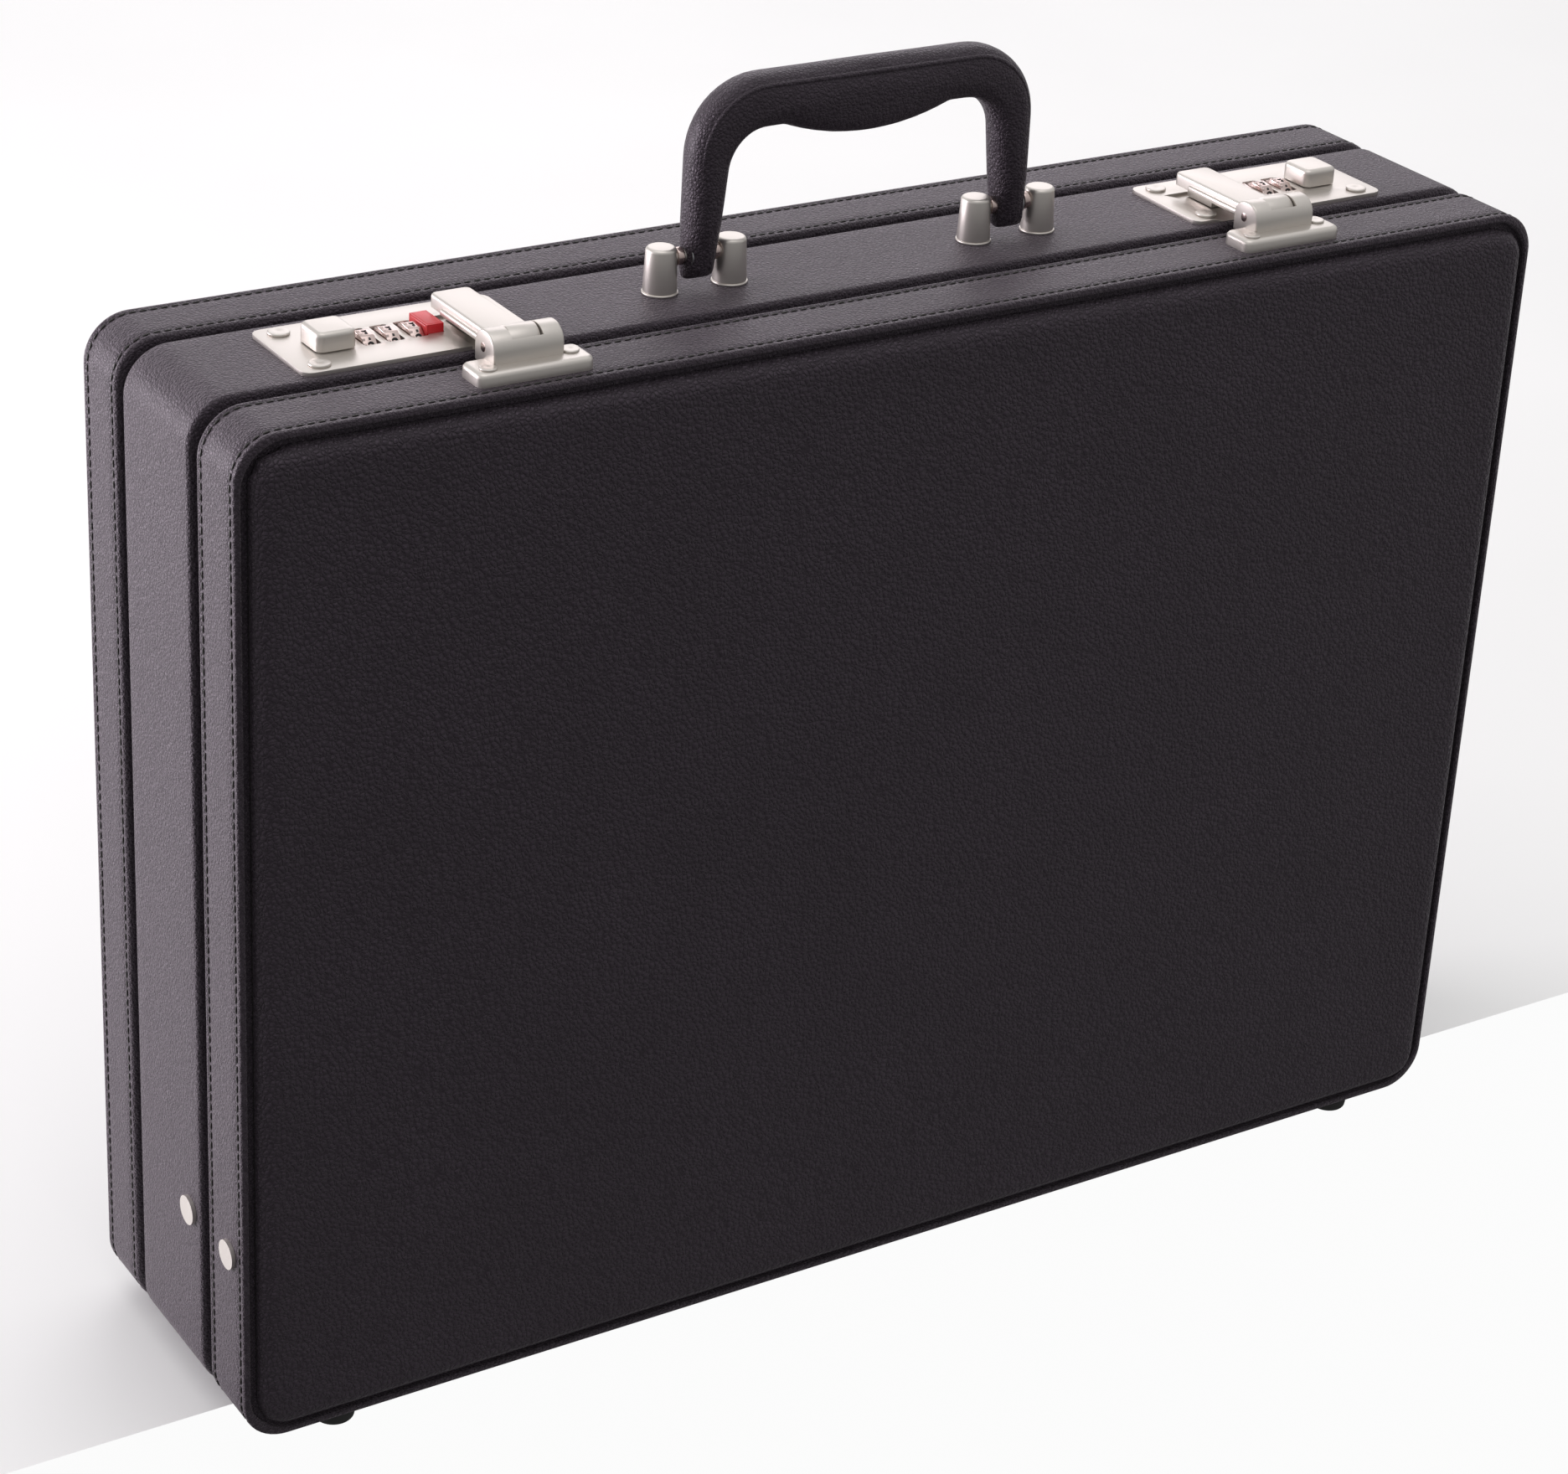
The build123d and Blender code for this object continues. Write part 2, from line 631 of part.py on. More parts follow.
arm_y0 = axis_y + barrel_radius + arm_clear
arm_y1 = axis_y + arm_reach
arm_z0 = top + arm_under
arm_z1 = arm_z0 + arm_thickness
arm = span(hasp_centre - arm_width / 2, hasp_centre + arm_width / 2, arm_y0, arm_y1, arm_z0, arm_z1)
arm = chamfer(arm.edges().filter_by(Axis.Z).group_by(Axis.Y)[-1], 1.5)
arm = chamfer(arm.edges().group_by(Axis.Z)[-1], 0.8)
arm += span(hasp_centre - arm_flange / 2, hasp_centre + arm_flange / 2, arm_y0, arm_y1 - 8,
            arm_z0, arm_z0 + arm_flange_thickness)
arm += span(middle_x0, middle_x1, axis_y, arm_y0 + 1, arm_z0, axis_z)
arm += rod_x(middle_x0, middle_x1, axis_y, axis_z, barrel_radius)
arm -= rod_x(middle_x0 - 1, middle_x1 + 1, axis_y, axis_z, hasp_pin_radius + running_clearance)
hook_y1 = recess_y1 - 1.0
arm += span(hasp_centre - hook_width / 2, hasp_centre + hook_width / 2, hook_y1 - hook_length, hook_y1,
            top + hook_lift, arm_z0)
save_pair("hasp_arm", arm)

hasp_pin = rod_x(barrel_x0, barrel_x1, axis_y, axis_z, hasp_pin_radius)
save("hasp_pins", hasp_pin, mirrored(hasp_pin))
hasp_rivets = []
for x, y in hasp_rivet_points(hasp_centre) + hasp_rivet_points(-hasp_centre):
    rivet = rod_z(x, y, top - wall - rivet_tail_height, base_top, rivet_shank)
    rivet += rod_z(x, y, base_top, base_top + hasp_rivet_head, hasp_rivet_radius)
    rivet += rod_z(x, y, top - wall - rivet_tail_height, top - wall, rivet_tail)
    hasp_rivets += [rivet]
save("hasp_rivets", *hasp_rivets)

# ---- handle ----
pin_z = top + pin_rise
posts = []
for x in post_xs:
    post = Pos(x, hardware_y, top + post_height / 2) * Cone(post_base_radius, post_top_radius, post_height)
    post = fillet(post.edges().group_by(Axis.Z)[-1], 1.2)
    post += rod_z(x, hardware_y, top - wall - backing_thickness, top, post_shank)
    post -= rod_x(x - 10, x + 10, hardware_y, pin_z, handle_pin_radius)
    posts += [post, mirrored(post)]
save("handle_posts", *posts)

handle_pin = rod_x(post_xs[0] - 3, post_xs[1] + 3, hardware_y, pin_z, handle_pin_radius)
save("handle_pins", handle_pin, mirrored(handle_pin))

backing = span(post_pair_centre - backing_length / 2, post_pair_centre + backing_length / 2,
               hardware_y - backing_width / 2, hardware_y + backing_width / 2,
               top - wall - backing_thickness, top - wall)
for x in post_xs:
    backing -= rod_z(x, hardware_y, top - 4 * wall, top, post_shank)
save("handle_backing_plates", backing, mirrored(backing))

grip_z0 = top + grip_bottom_rise
grip_z1 = top + grip_top_rise
bar_z0 = grip_z1 - grip_bar
grip_y0 = hardware_y - grip_depth / 2
grip_inside = grip_half_width - grip_leg
foot_inside = post_pair_centre - grip_foot / 2
foot_outside = post_pair_centre + grip_foot / 2


def standing_plate(points, corner, depth):
    """A plate across the case, so many mm deep, with its two upper corners rounded."""
    plane = Plane(origin=(0, hardware_y - depth / 2, 0), x_dir=(1, 0, 0), z_dir=(0, -1, 0))
    face = make_face(Polyline(*points, close=True))
    face = fillet(face.vertices().group_by(Axis.Y)[-1], corner)
    return extrude(plane * face, -depth)


# The legs widen from their feet between the posts up to the bar.
grip = standing_plate([(-foot_outside, grip_z0), (foot_outside, grip_z0),
                       (grip_half_width, grip_z1), (-grip_half_width, grip_z1)],
                      grip_corner, grip_depth)
grip -= standing_plate([(-foot_inside, grip_z0 - 1), (foot_inside, grip_z0 - 1),
                        (grip_inside, bar_z0), (-grip_inside, bar_z0)],
                       grip_inner_corner, grip_depth)
belly_z = bar_z0 - grip_belly
belly = Pos(0, hardware_y, belly_z + grip_belly_radius) * Rot(90, 0, 0) * Cylinder(grip_belly_radius, grip_depth)
belly &= span(-grip_inside, grip_inside, grip_y0, grip_y0 + grip_depth, belly_z, bar_z0 + 1)
grip += belly
face_edges = grip.edges().filter_by(lambda e: abs(abs(e.center().Y - hardware_y) - grip_depth / 2) < 0.01)
grip = fillet(face_edges, grip_edge)

core_mid_z = (bar_z0 + grip_z1) / 2
core_outside = post_pair_centre + core_thickness / 2
core_inside = post_pair_centre - core_thickness / 2
core_z1 = core_mid_z + core_thickness / 2
core_z0 = core_mid_z - core_thickness / 2
core = standing_plate([(-core_outside, pin_z), (core_outside, pin_z),
                       (core_outside, core_z1), (-core_outside, core_z1)], core_bend, core_width)
core -= standing_plate([(-core_inside, pin_z - 1), (core_inside, pin_z - 1), (core_inside, core_z0),
                        (-core_inside, core_z0)], core_bend - core_thickness, core_width + 2)
for side in (-1, 1):
    x = side * post_pair_centre
    core += rod_x(x - eye_length / 2, x + eye_length / 2, hardware_y, pin_z, eye_radius)
    grip -= rod_x(x - grip_foot, x + grip_foot, hardware_y, pin_z, handle_pin_radius + soft_gap)
    core -= rod_x(x - grip_foot, x + grip_foot, hardware_y, pin_z, handle_pin_radius + running_clearance)
grip -= core
save("handle_grip", grip)
save("handle_core", core)

# ---- organiser in the lid ----
organiser_z1 = top - 24.0
organiser_z0 = organiser_z1 - organiser_height
panel_y1 = lid_lining_back + organiser_thickness
save("organiser_panel", span(-organiser_width / 2, organiser_width / 2, lid_lining_back, panel_y1,
                             organiser_z0, organiser_z1))
pocket_y1 = panel_y1 + file_pocket_thickness
save("file_pocket", span(-organiser_width / 2, organiser_width / 2, panel_y1, pocket_y1,
                         organiser_z0, organiser_z0 + file_pocket_height))
card_z0 = organiser_z0 + file_pocket_height - card_pocket_height - 14.0
card_x = organiser_width / 2 - card_pocket_width / 2 - 14.0
card_pockets = [span(x - card_pocket_width / 2, x + card_pocket_width / 2, pocket_y1,
                     pocket_y1 + card_pocket_thickness, card_z0, card_z0 + card_pocket_height)
                for x in (-card_x, card_x)]
save("card_pockets", *card_pockets)
loop_z0 = organiser_z0 + file_pocket_height + 16.0
pen_loops = []
for x in (-22.0, 0.0, 22.0):
    loop = rod_z(x, panel_y1 + pen_loop_radius, loop_z0, loop_z0 + pen_loop_length, pen_loop_radius)
    loop -= rod_z(x, panel_y1 + pen_loop_radius, loop_z0 - 1, loop_z0 + pen_loop_length + 1,
                  pen_loop_radius - pen_loop_wall)
    pen_loops.append(loop)
save("pen_loops", *pen_loops)
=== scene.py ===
import json
from math import cos, pi, radians, sin, sqrt, tau

import bmesh
import bpy
import numpy as np
from mathutils import Matrix, Vector


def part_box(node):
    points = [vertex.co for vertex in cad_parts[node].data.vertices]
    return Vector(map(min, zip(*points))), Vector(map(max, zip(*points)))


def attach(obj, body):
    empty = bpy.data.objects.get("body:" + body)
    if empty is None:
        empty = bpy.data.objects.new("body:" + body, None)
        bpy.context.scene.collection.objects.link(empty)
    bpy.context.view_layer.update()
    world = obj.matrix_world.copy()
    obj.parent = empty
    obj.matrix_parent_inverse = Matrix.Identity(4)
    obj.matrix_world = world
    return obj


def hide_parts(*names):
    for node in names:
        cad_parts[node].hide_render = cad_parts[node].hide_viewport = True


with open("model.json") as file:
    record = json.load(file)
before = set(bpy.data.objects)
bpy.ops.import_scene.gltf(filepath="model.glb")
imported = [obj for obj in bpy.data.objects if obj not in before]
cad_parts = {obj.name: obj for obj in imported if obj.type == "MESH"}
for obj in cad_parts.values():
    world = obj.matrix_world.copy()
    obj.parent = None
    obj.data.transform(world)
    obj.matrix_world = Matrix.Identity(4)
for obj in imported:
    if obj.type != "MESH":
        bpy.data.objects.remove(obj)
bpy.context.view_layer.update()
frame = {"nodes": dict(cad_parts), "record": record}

bl_info = {
    "name": "Attache Case",
    "version": (1, 0, 0),
    "blender": (4, 5, 0),
    "location": "View3D > Sidebar > Case",
    "description": "Models the leather, hardware and lining of an attache case round its frame",
    "category": "Object",
}

MM = 0.001
SIDES = ("right", "left")


# ---------------------------------------------------------------- places, read from the frame
LID_LOW, LID_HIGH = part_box("lid_leather")
BAND_LOW, BAND_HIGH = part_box("band_leather")
REAR_LOW, REAR_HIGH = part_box("rear_leather")
CASE_TOP = BAND_HIGH.z
CASE_BOTTOM = BAND_LOW.z
HALF_WIDTH = BAND_HIGH.x
WALL = 4.8 * MM
RIM_LIP = 2.2 * MM
RIM_DEPTH = 2.5 * MM
RED_PAD = (141.8 * MM, 147.2 * MM)
HASP_BASE_DEPTH = 12.6 * MM
CORNER = 14.0 * MM


# ---------------------------------------------------------------- settings
class CaseSizes(bpy.types.PropertyGroup):
    """The sizes of what is sewn, rolled and rounded on the case."""
    stitch_pitch: bpy.props.FloatProperty(
        name="Stitch pitch", description="From one stitch to the next", default=3.3 * MM,
        subtype="DISTANCE", unit="LENGTH")
    stitch_length: bpy.props.FloatProperty(
        name="Stitch length", description="Length of one stitch", default=2.5 * MM,
        subtype="DISTANCE", unit="LENGTH")
    thread: bpy.props.FloatProperty(
        name="Thread", description="Thickness of the thread", default=0.75 * MM,
        subtype="DISTANCE", unit="LENGTH")
    edge_roll: bpy.props.FloatProperty(
        name="Edge roll", description="Radius of the turned leather edge", default=1.7 * MM,
        subtype="DISTANCE", unit="LENGTH")
    rim_roll: bpy.props.FloatProperty(
        name="Rim roll", description="Radius of the thin rims beside the padded panels",
        default=1.0 * MM, subtype="DISTANCE", unit="LENGTH")
    seam_depth: bpy.props.FloatProperty(
        name="Seam depth", description="How deep a line of stitches pulls the leather in",
        default=0.45 * MM, subtype="DISTANCE", unit="LENGTH")
    pad_swell: bpy.props.FloatProperty(
        name="Pad swell", description="The most that a padded panel swells", default=1.6 * MM,
        subtype="DISTANCE", unit="LENGTH")
    grip_swell: bpy.props.FloatProperty(
        name="Grip swell", description="The most that the padded grip swells", default=0.7 * MM,
        subtype="DISTANCE", unit="LENGTH")


class CaseColours(bpy.types.PropertyGroup):
    """The colours of the case, as sRGB hex values."""
    leather: bpy.props.StringProperty(
        name="Leather", description="Dyed leather of the case", default="1B151B")
    leather_worn: bpy.props.StringProperty(
        name="Leather crest", description="Crests of the grain, where the finish is rubbed",
        default="312932")
    thread: bpy.props.StringProperty(name="Thread", description="Sewing thread", default="17130F")
    nickel: bpy.props.StringProperty(
        name="Nickel", description="Satin nickel plate", default="CDB5AF")
    red: bpy.props.StringProperty(
        name="Red", description="Red plastic of the lock bodies", default="D8202A")
    lining: bpy.props.StringProperty(name="Lining", description="Woven lining", default="37343A")


def sizes():
    return bpy.context.scene.case_sizes


def colours():
    return bpy.context.scene.case_colours


def linear(hex_value):
    """An sRGB hex colour as linear RGBA."""
    out = []
    for start in (0, 2, 4):
        channel = int(hex_value[start:start + 2], 16) / 255.0
        out.append(channel / 12.92 if channel <= 0.04045 else ((channel + 0.055) / 1.055) ** 2.4)
    return (*out, 1.0)


# ---------------------------------------------------------------- materials
def add_node(tree, kind, inputs=None, **settings):
    """One node with its settings; each input is a value, or a socket to link from."""
    node = tree.nodes.new(kind)
    for name, value in settings.items():
        setattr(node, name, value)
    for key, value in (inputs or {}).items():
        if isinstance(value, bpy.types.NodeSocket):
            tree.links.new(value, node.inputs[key])
        else:
            node.inputs[key].default_value = value
    return node


def ramp(tree, value, stops):
    """A colour ramp of (position, linear colour) stops."""
    node = add_node(tree, "ShaderNodeValToRGB", {"Fac": value})
    elements = node.color_ramp.elements
    elements[0].position, elements[0].color = stops[0]
    elements[1].position, elements[1].color = stops[-1]
    for position, colour in stops[1:-1]:
        element = elements.new(position)
        element.color = colour
    return node.outputs["Color"]


def spread(tree, value, low, high):
    """A 0 to 1 value mapped to low to high."""
    node = add_node(tree, "ShaderNodeMapRange", {"Value": value, "To Min": low, "To Max": high})
    return node.outputs["Result"]


def new_material(name, constants):
    """A material with its shader's constants set; returns it, its tree, shader and coordinates."""
    material = bpy.data.materials.new(name)
    material.use_nodes = True
    tree = material.node_tree
    shader = tree.nodes["Principled BSDF"]
    for key, value in constants.items():
        shader.inputs[key].default_value = value
    place = add_node(tree, "ShaderNodeTexCoord").outputs["Object"]
    return material, tree, shader, place


def grain_leather(name, grain, depth, dark, light, roughness, sheen):
    """Drum-dyed calf with an embossed pebble grain: rounded pebbles between fine creases, a
    semi-matt finish that is a little shinier on the crests, and a soft sheen at low angles."""
    material, tree, shader, place = new_material(name, {
        "IOR": 1.5, "Specular Tint": (1.0, 0.84, 1.0, 1.0), "Sheen Weight": sheen, "Sheen Roughness": 0.45,
        "Sheen Tint": linear("CFC3CC"), "Coat Weight": 0.12, "Coat Roughness": 0.32})
    warp = add_node(tree, "ShaderNodeTexNoise", {"Vector": place, "Scale": 0.5 / grain, "Detail": 2.0})
    push = add_node(tree, "ShaderNodeVectorMath", {0: warp.outputs["Color"], 1: (0.5, 0.5, 0.5)},
                    operation="SUBTRACT")
    push = add_node(tree, "ShaderNodeVectorMath", {0: push.outputs[0], "Scale": 1.1 * grain},
                    operation="SCALE")
    bent = add_node(tree, "ShaderNodeVectorMath", {0: place, 1: push.outputs[0]}, operation="ADD")
    pebbles = add_node(tree, "ShaderNodeTexVoronoi", {
        "Vector": bent.outputs[0], "Scale": 1.0 / grain, "Smoothness": 0.35}, feature="SMOOTH_F1")
    creases = add_node(tree, "ShaderNodeTexVoronoi", {
        "Vector": bent.outputs[0], "Scale": 1.0 / grain}, feature="DISTANCE_TO_EDGE")
    crease = add_node(tree, "ShaderNodeMapRange", {
        "Value": creases.outputs["Distance"], "From Max": 0.16}, interpolation_type="SMOOTHSTEP")
    pores = add_node(tree, "ShaderNodeTexNoise", {"Vector": place, "Scale": 3.5 / grain, "Detail": 3.0})
    clouds = add_node(tree, "ShaderNodeTexNoise", {
        "Vector": place, "Scale": 1.0 / (38.0 * MM), "Detail": 4.0, "Roughness": 0.6})
    dome = spread(tree, pebbles.outputs["Distance"], 1.0, 0.0)
    height = add_node(tree, "ShaderNodeMath", {0: dome, 1: crease.outputs["Result"]}, operation="MULTIPLY")
    fine = add_node(tree, "ShaderNodeMath", {0: pores.outputs[0], 1: 0.25, 2: height.outputs[0]},
                    operation="MULTIPLY_ADD")
    bump = add_node(tree, "ShaderNodeBump", {
        "Height": fine.outputs[0], "Distance": 3.2 * depth, "Strength": 1.0})
    tone = add_node(tree, "ShaderNodeMath", {0: clouds.outputs[0], 1: height.outputs[0]},
                    operation="MULTIPLY")
    colour = ramp(tree, tone.outputs[0], ((0.05, linear(dark)), (0.6, linear(light))))
    tree.links.new(colour, shader.inputs["Base Color"])
    tree.links.new(spread(tree, height.outputs[0], roughness + 0.14, roughness - 0.04),
                   shader.inputs["Roughness"])
    tree.links.new(bump.outputs["Normal"], shader.inputs["Normal"])
    return material


def satin_metal(name, colour, roughness, stroke, metallic=1.0):
    """Nickel plate over a brushed casting: fine lines along X, small cloudy changes in polish."""
    material, tree, shader, place = new_material(name, {"Metallic": metallic})
    stretch = add_node(tree, "ShaderNodeMapping", {"Vector": place, "Scale": (0.06, 1.0, 1.0)})
    lines = add_node(tree, "ShaderNodeTexNoise", {
        "Vector": stretch.outputs[0], "Scale": 1.0 / (0.5 * MM), "Detail": 3.0})
    clouds = add_node(tree, "ShaderNodeTexNoise", {
        "Vector": place, "Scale": 1.0 / (9.0 * MM), "Detail": 3.0})
    mixed = add_node(tree, "ShaderNodeMath", {0: lines.outputs[0], 1: clouds.outputs[0]},
                     operation="MULTIPLY")
    tree.links.new(spread(tree, mixed.outputs[0], roughness - 0.06, roughness + 0.14),
                   shader.inputs["Roughness"])
    pale = linear(colour)
    dull = tuple(channel * 0.82 for channel in pale[:3]) + (1.0,)
    tree.links.new(ramp(tree, clouds.outputs[0], ((0.25, dull), (0.7, pale))), shader.inputs["Base Color"])
    bump = add_node(tree, "ShaderNodeBump", {
        "Height": lines.outputs[0], "Distance": stroke, "Strength": 0.35})
    tree.links.new(bump.outputs["Normal"], shader.inputs["Normal"])
    return material


def woven_cloth(name, colour, pitch):
    """Plain-weave nylon lining: crossed threads, a faint sheen. The threads are drawn coarser
    than real ones, so that they show."""
    material, tree, shader, place = new_material(name, {
        "IOR": 1.46, "Sheen Weight": 0.25, "Sheen Roughness": 0.5, "Roughness": 0.82})
    across = add_node(tree, "ShaderNodeTexWave", {
        "Vector": place, "Scale": 1.0 / (pitch * 20.0) * 3.0, "Distortion": 0.6}, bands_direction="X")
    down = add_node(tree, "ShaderNodeTexWave", {
        "Vector": place, "Scale": 1.0 / (pitch * 20.0) * 3.0, "Distortion": 0.6}, bands_direction="Z")
    weave = add_node(tree, "ShaderNodeMath", {0: across.outputs["Fac"], 1: down.outputs["Fac"]},
                     operation="MULTIPLY")
    clouds = add_node(tree, "ShaderNodeTexNoise", {
        "Vector": place, "Scale": 1.0 / (30.0 * MM), "Detail": 3.0})
    tone = add_node(tree, "ShaderNodeMath", {0: weave.outputs[0], 1: clouds.outputs[0]}, operation="ADD")
    pale = linear(colour)
    dark = tuple(channel * 0.55 for channel in pale[:3]) + (1.0,)
    tree.links.new(ramp(tree, tone.outputs[0], ((0.3, dark), (1.1, pale))), shader.inputs["Base Color"])
    bump = add_node(tree, "ShaderNodeBump", {
        "Height": weave.outputs[0], "Distance": 0.15 * MM, "Strength": 0.6})
    tree.links.new(bump.outputs["Normal"], shader.inputs["Normal"])
    return material


def moulded_plastic(name, colour, roughness, grit, ior=1.5):
    """Injection-moulded plastic or rubber: fine spark texture, a little unevenness in the gloss."""
    material, tree, shader, place = new_material(name, {"IOR": ior})
    speckle = add_node(tree, "ShaderNodeTexNoise", {
        "Vector": place, "Scale": 1.0 / grit, "Detail": 4.0, "Roughness": 0.6})
    clouds = add_node(tree, "ShaderNodeTexNoise", {
        "Vector": place, "Scale": 1.0 / (12.0 * MM), "Detail": 2.0})
    pale = linear(colour)
    dark = tuple(channel * 0.75 for channel in pale[:3]) + (1.0,)
    tree.links.new(ramp(tree, clouds.outputs[0], ((0.3, dark), (0.7, pale))), shader.inputs["Base Color"])
    tree.links.new(spread(tree, speckle.outputs[0], roughness - 0.07, roughness + 0.1),
                   shader.inputs["Roughness"])
    bump = add_node(tree, "ShaderNodeBump", {
        "Height": speckle.outputs[0], "Distance": 0.04 * MM, "Strength": 0.4})
    tree.links.new(bump.outputs["Normal"], shader.inputs["Normal"])
    return material


def pressed_board(name):
    """Fibreboard, dyed black on its face: short fibres, quite matt."""
    material, tree, shader, place = new_material(name, {"IOR": 1.45, "Roughness": 0.85})
    fibres = add_node(tree, "ShaderNodeTexNoise", {
        "Vector": place, "Scale": 1.0 / (1.2 * MM), "Detail": 6.0, "Roughness": 0.7, "Distortion": 1.5})
    tree.links.new(ramp(tree, fibres.outputs[0], ((0.3, linear("1B191A")), (0.75, linear("3A3634")))),
                   shader.inputs["Base Color"])
    bump = add_node(tree, "ShaderNodeBump", {
        "Height": fibres.outputs[0], "Distance": 0.1 * MM, "Strength": 0.5})
    tree.links.new(bump.outputs["Normal"], shader.inputs["Normal"])
    return material


def twisted_thread(name, colour):
    """Waxed polyester thread: fine twist lines and a waxy shine."""
    material, tree, shader, place = new_material(name, {
        "IOR": 1.5, "Roughness": 0.42, "Base Color": linear(colour)})
    twist = add_node(tree, "ShaderNodeTexWave", {
        "Vector": place, "Scale": 3.0 / (20.0 * 0.5 * MM), "Distortion": 1.0}, bands_direction="DIAGONAL")
    bump = add_node(tree, "ShaderNodeBump", {
        "Height": twist.outputs["Fac"], "Distance": 0.1 * MM, "Strength": 0.5})
    tree.links.new(bump.outputs["Normal"], shader.inputs["Normal"])
    return material


def material(name):
    """The case's material of that name, made at its first use."""
    if name in bpy.data.materials:
        return bpy.data.materials[name]
    makers = {
        "band_calf": lambda: grain_leather(name, 1.1 * MM, 0.13 * MM, colours().leather,
                                           colours().leather_worn, 0.47, 0.35),
        "panel_calf": lambda: grain_leather(name, 1.5 * MM, 0.2 * MM, colours().leather,
                                            colours().leather_worn, 0.44, 0.12),
        "grip_calf": lambda: grain_leather(name, 1.1 * MM, 0.12 * MM, colours().leather,
                                           colours().leather_worn, 0.45, 0.2),
        "satin_nickel": lambda: satin_metal(name, colours().nickel, 0.33, 0.02 * MM),
        "polished_nickel": lambda: satin_metal(name, "D2BFBA", 0.24, 0.01 * MM),
        "zinc_steel": lambda: satin_metal(name, "B9BABD", 0.4, 0.03 * MM),
        "lining_nylon": lambda: woven_cloth(name, colours().lining, 0.8 * MM),
        "red_abs": lambda: moulded_plastic(name, colours().red, 0.34, 0.6 * MM),
        "black_abs": lambda: moulded_plastic(name, "151314", 0.55, 0.7 * MM),
        "number_enamel": lambda: moulded_plastic(name, "1A1718", 0.4, 0.5 * MM),
        "foot_rubber": lambda: moulded_plastic(name, "1E1C1D", 0.75, 0.8 * MM, ior=1.52),
        "dyed_board": lambda: pressed_board(name),
        "waxed_thread": lambda: twisted_thread(name, colours().thread),
    }
    return makers[name]()


# ---------------------------------------------------------------- modelling helpers
def nothing_selected():
    bpy.ops.object.select_all(action="DESELECT")


def only(piece):
    """Makes the piece the selected and active one."""
    nothing_selected()
    piece.select_set(True)
    bpy.context.view_layer.objects.active = piece


def named(name):
    """Names the object that an operator has just added and gives it its place in its mesh."""
    piece = bpy.context.object
    piece.name = name
    piece.data.name = name
    bpy.ops.object.transform_apply(location=True, rotation=True, scale=True)
    return piece


def block(name, low, high):
    """A box between two corners, to be shaped further."""
    nothing_selected()
    low, high = Vector(low), Vector(high)
    bpy.ops.mesh.primitive_cube_add(size=1.0, location=(low + high) / 2, scale=high - low)
    return named(name)


def turned(name, centre, axis, radius, length, end_radius=None, sides=48):
    """A round bar or cone along X, Y or Z, to be shaped further."""
    nothing_selected()
    turn = {"X": (0, pi / 2, 0), "Y": (-pi / 2, 0, 0), "Z": (0, 0, 0)}[axis]
    far = radius if end_radius is None else end_radius
    bpy.ops.mesh.primitive_cone_add(vertices=sides, radius1=radius, radius2=far, depth=length,
                                    location=centre, rotation=turn)
    return named(name)


def applied(piece, kind, **settings):
    """Adds one modifier with its settings and applies it."""
    only(piece)
    modifier = piece.modifiers.new(kind.lower(), kind)
    for name, value in settings.items():
        setattr(modifier, name, value)
    bpy.ops.object.modifier_apply(modifier=modifier.name)
    return piece


def rounded(piece, width, segments=3, angle=30.0):
    """Rounds the piece's sharp edges."""
    return applied(piece, "BEVEL", width=width, segments=segments, limit_method="ANGLE",
                   angle_limit=radians(angle), use_clamp_overlap=True)


def less(piece, *cutters):
    """Cuts other pieces out of the piece."""
    for cutter in cutters:
        applied(piece, "BOOLEAN", operation="DIFFERENCE", object=cutter, solver="EXACT")
        bpy.data.objects.remove(cutter)
    return piece


def joined(piece, *others):
    """Joins loose shells into one piece."""
    only(piece)
    for other in others:
        other.select_set(True)
    bpy.ops.object.join()
    return piece


def edit_select(piece, mode, test):
    """Opens the piece in edit mode and selects the vertices, edges or faces that pass the test."""
    only(piece)
    bpy.ops.object.mode_set(mode="EDIT")
    bpy.ops.mesh.select_mode(type=mode)
    bpy.ops.mesh.select_all(action="DESELECT")
    edited = bmesh.from_edit_mesh(piece.data)
    items = {"VERT": edited.verts, "EDGE": edited.edges, "FACE": edited.faces}[mode]
    for item in items:
        if test(item):
            item.select_set(True)
    edited.select_flush_mode()
    bmesh.update_edit_mesh(piece.data)


def done_editing():
    bpy.ops.object.mode_set(mode="OBJECT")


def bevel_edges(piece, test, width, segments):
    """Bevels the edges that pass the test."""
    edit_select(piece, "EDGE", test)
    bpy.ops.mesh.bevel(offset=width, segments=segments, affect="EDGES")
    done_editing()
    return piece


def runs_along(edge, axis):
    """Whether an edge is parallel to axis 0, 1 or 2."""
    line = edge.verts[1].co - edge.verts[0].co
    return abs(line[axis]) > 0.999 * line.length


def own_copy(source, name, matrix=Matrix.Identity(4)):
    """A copy with its own mesh, moved by the matrix, its faces still pointing out."""
    piece = source.copy()
    piece.data = source.data.copy()
    piece.name = name
    piece.data.name = name
    bpy.context.scene.collection.objects.link(piece)
    piece.data.transform(matrix)
    if matrix.determinant() < 0:
        piece.data.flip_normals()
    return piece


MIRROR = Matrix.Scale(-1.0, 4, (1.0, 0.0, 0.0))


def sided(name, side):
    """A body's or node's name, with %s filled in for those that come as a right and left pair."""
    return name.replace("%s", side)


def put(piece, body, look, replaces=(), smooth=35.0):
    """Finishes a piece: smooth shading, material, material slot, body and what it stands for."""
    only(piece)
    bpy.ops.object.transform_apply(location=True, rotation=True, scale=True)
    bpy.ops.object.shade_smooth_by_angle(angle=radians(smooth))
    if not piece.data.materials:
        piece.data.materials.append(material(look))
    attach(piece, body)
    if replaces:
        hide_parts(*replaces)
    return piece


